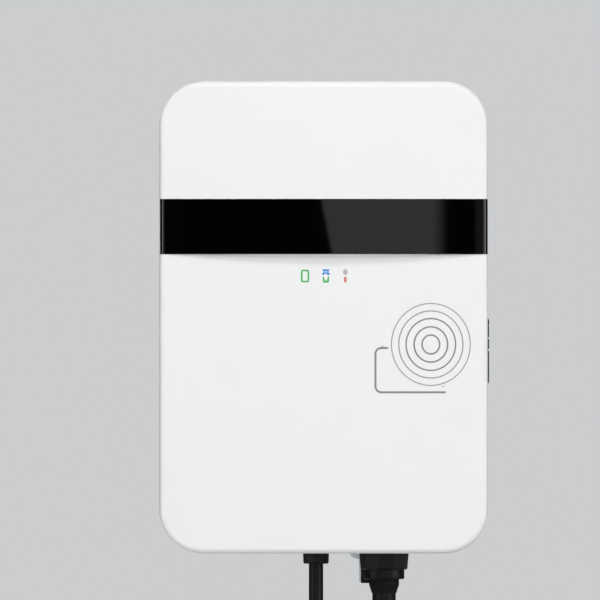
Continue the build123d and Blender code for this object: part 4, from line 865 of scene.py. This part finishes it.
# %% Floor
FLOOR_GAP = 0.02
FLOOR_HALF = 30
FADE_FROM, FADE_TO = 0.5, 1.4
FLOOR_Z = cad_box[0][2] - FLOOR_GAP
floor_paint = surface("floor_paint", PALE, 0.8, grain=4 * MM, depth=0.02 * MM, drift=0.01)
tree = floor_paint.node_tree
place = tree.nodes.new("ShaderNodeTexCoord")
level = tree.nodes.new("ShaderNodeVectorMath")
level.operation = "MULTIPLY"
level.inputs[1].default_value = (1, 1, 0)
link(tree, place.outputs["Object"], level.inputs[0])
distance = tree.nodes.new("ShaderNodeVectorMath")
distance.operation = "LENGTH"
link(tree, level.outputs["Vector"], distance.inputs[0])
far = tree.nodes.new("ShaderNodeMapRange")
far.interpolation_type = "SMOOTHSTEP"
far.inputs["From Min"].default_value = FADE_FROM
far.inputs["From Max"].default_value = FADE_TO
link(tree, distance.outputs["Value"], far.inputs["Value"])
path = tree.nodes.new("ShaderNodeLightPath")
seen_far = tree.nodes.new("ShaderNodeMath")
seen_far.operation = "MULTIPLY"
link(tree, far.outputs["Result"], seen_far.inputs[0])
link(tree, path.outputs["Is Camera Ray"], seen_far.inputs[1])
even = tree.nodes.new("ShaderNodeEmission")
even.inputs["Color"].default_value = (*PALE, 1)
above_floor = tree.nodes.new("ShaderNodeMixShader")
link(tree, seen_far.outputs[0], above_floor.inputs["Fac"])
link(tree, tree.nodes["Principled BSDF"].outputs[0], above_floor.inputs[1])
link(tree, even.outputs[0], above_floor.inputs[2])
side = tree.nodes.new("ShaderNodeNewGeometry")
either = tree.nodes.new("ShaderNodeMixShader")
link(tree, side.outputs["Backfacing"], either.inputs["Fac"])
link(tree, above_floor.outputs[0], either.inputs[1])
link(tree, tree.nodes.new("ShaderNodeBsdfTransparent").outputs[0], either.inputs[2])
link(tree, either.outputs[0], tree.nodes["Material Output"].inputs["Surface"])
flat_sheet("floor", [(-FLOOR_HALF, -FLOOR_HALF, FLOOR_Z), (FLOOR_HALF, -FLOOR_HALF, FLOOR_Z),
                     (FLOOR_HALF, FLOOR_HALF, FLOOR_Z), (-FLOOR_HALF, FLOOR_HALF, FLOOR_Z)], floor_paint)

# %% [markdown]
# ## Reflected cards
#
# In the photograph the black band mirrors the room: a slanted bright edge in its middle, a soft
# one near its right end and a streak at each side. A mirror shows what stands in front of it, so
# three pale cards stand there, as in a photographer's studio. The front one is cut on the slant
# and fades to the right. They glow by themselves, and only reflections see them: the camera
# doesn't, and they put no light on matt surfaces.

# %% A helper for a card's glow
def glow(name, strength, dark_x, full_x):
    """A black sheet that gives off white light, from none at one place along X to all at another."""
    material = bpy.data.materials.new(name)
    material.use_nodes = True
    tree = material.node_tree
    shader = tree.nodes["Principled BSDF"]
    shader.inputs["Base Color"].default_value = (0, 0, 0, 1)
    shader.inputs["Emission Color"].default_value = (1, 1, 1, 1)
    place = tree.nodes.new("ShaderNodeTexCoord")
    parts = tree.nodes.new("ShaderNodeSeparateXYZ")
    link(tree, place.outputs["Object"], parts.inputs[0])
    fade = tree.nodes.new("ShaderNodeMapRange")
    fade.interpolation_type = "SMOOTHSTEP"
    fade.inputs["From Min"].default_value = dark_x
    fade.inputs["From Max"].default_value = full_x
    fade.inputs["To Max"].default_value = strength
    link(tree, parts.outputs["X"], fade.inputs["Value"])
    link(tree, fade.outputs["Result"], shader.inputs["Emission Strength"])
    print(name, "fades from", dark_x, "to", full_x)
    return material


# %% [markdown]
# The two side cards lean back towards the wall, so that the ends of the band, which turn to the
# sides, have something to mirror too.

# %% Cards
GLOW_Y = -6.5
GLOW_LOW, GLOW_HIGH = -0.9, 1.6
FRONT_LOW, FRONT_HIGH = -0.4, 0.5
RIGHT_NEAR, RIGHT_FAR = (2.1, GLOW_Y), (5.0, -1.0)
LEFT_NEAR, LEFT_FAR = (-1.9, GLOW_Y), (-5.0, -2.0)
reflected = [
    flat_sheet("front_card", [(-1.02, GLOW_Y, FRONT_HIGH), (1.40, GLOW_Y, FRONT_LOW),
                              (1.80, GLOW_Y, FRONT_LOW), (1.80, GLOW_Y, FRONT_HIGH)],
               glow("front_glow", 0.70, 1.78, 1.50)),
    flat_sheet("right_card", [(*RIGHT_NEAR, GLOW_LOW), (*RIGHT_FAR, GLOW_LOW), (*RIGHT_FAR, GLOW_HIGH),
                              (*RIGHT_NEAR, GLOW_HIGH)], glow("right_glow", 1.1, 1.8, 3.2)),
    flat_sheet("left_card", [(*LEFT_NEAR, GLOW_LOW), (*LEFT_FAR, GLOW_LOW), (*LEFT_FAR, GLOW_HIGH),
                             (*LEFT_NEAR, GLOW_HIGH)], glow("left_glow", 0.75, -1.9, -4.4))]
for card in reflected:
    card.visible_camera = False
    card.visible_diffuse = False
bpy.context.scene.view_settings.view_transform = "Standard"
print(len(reflected), "cards")
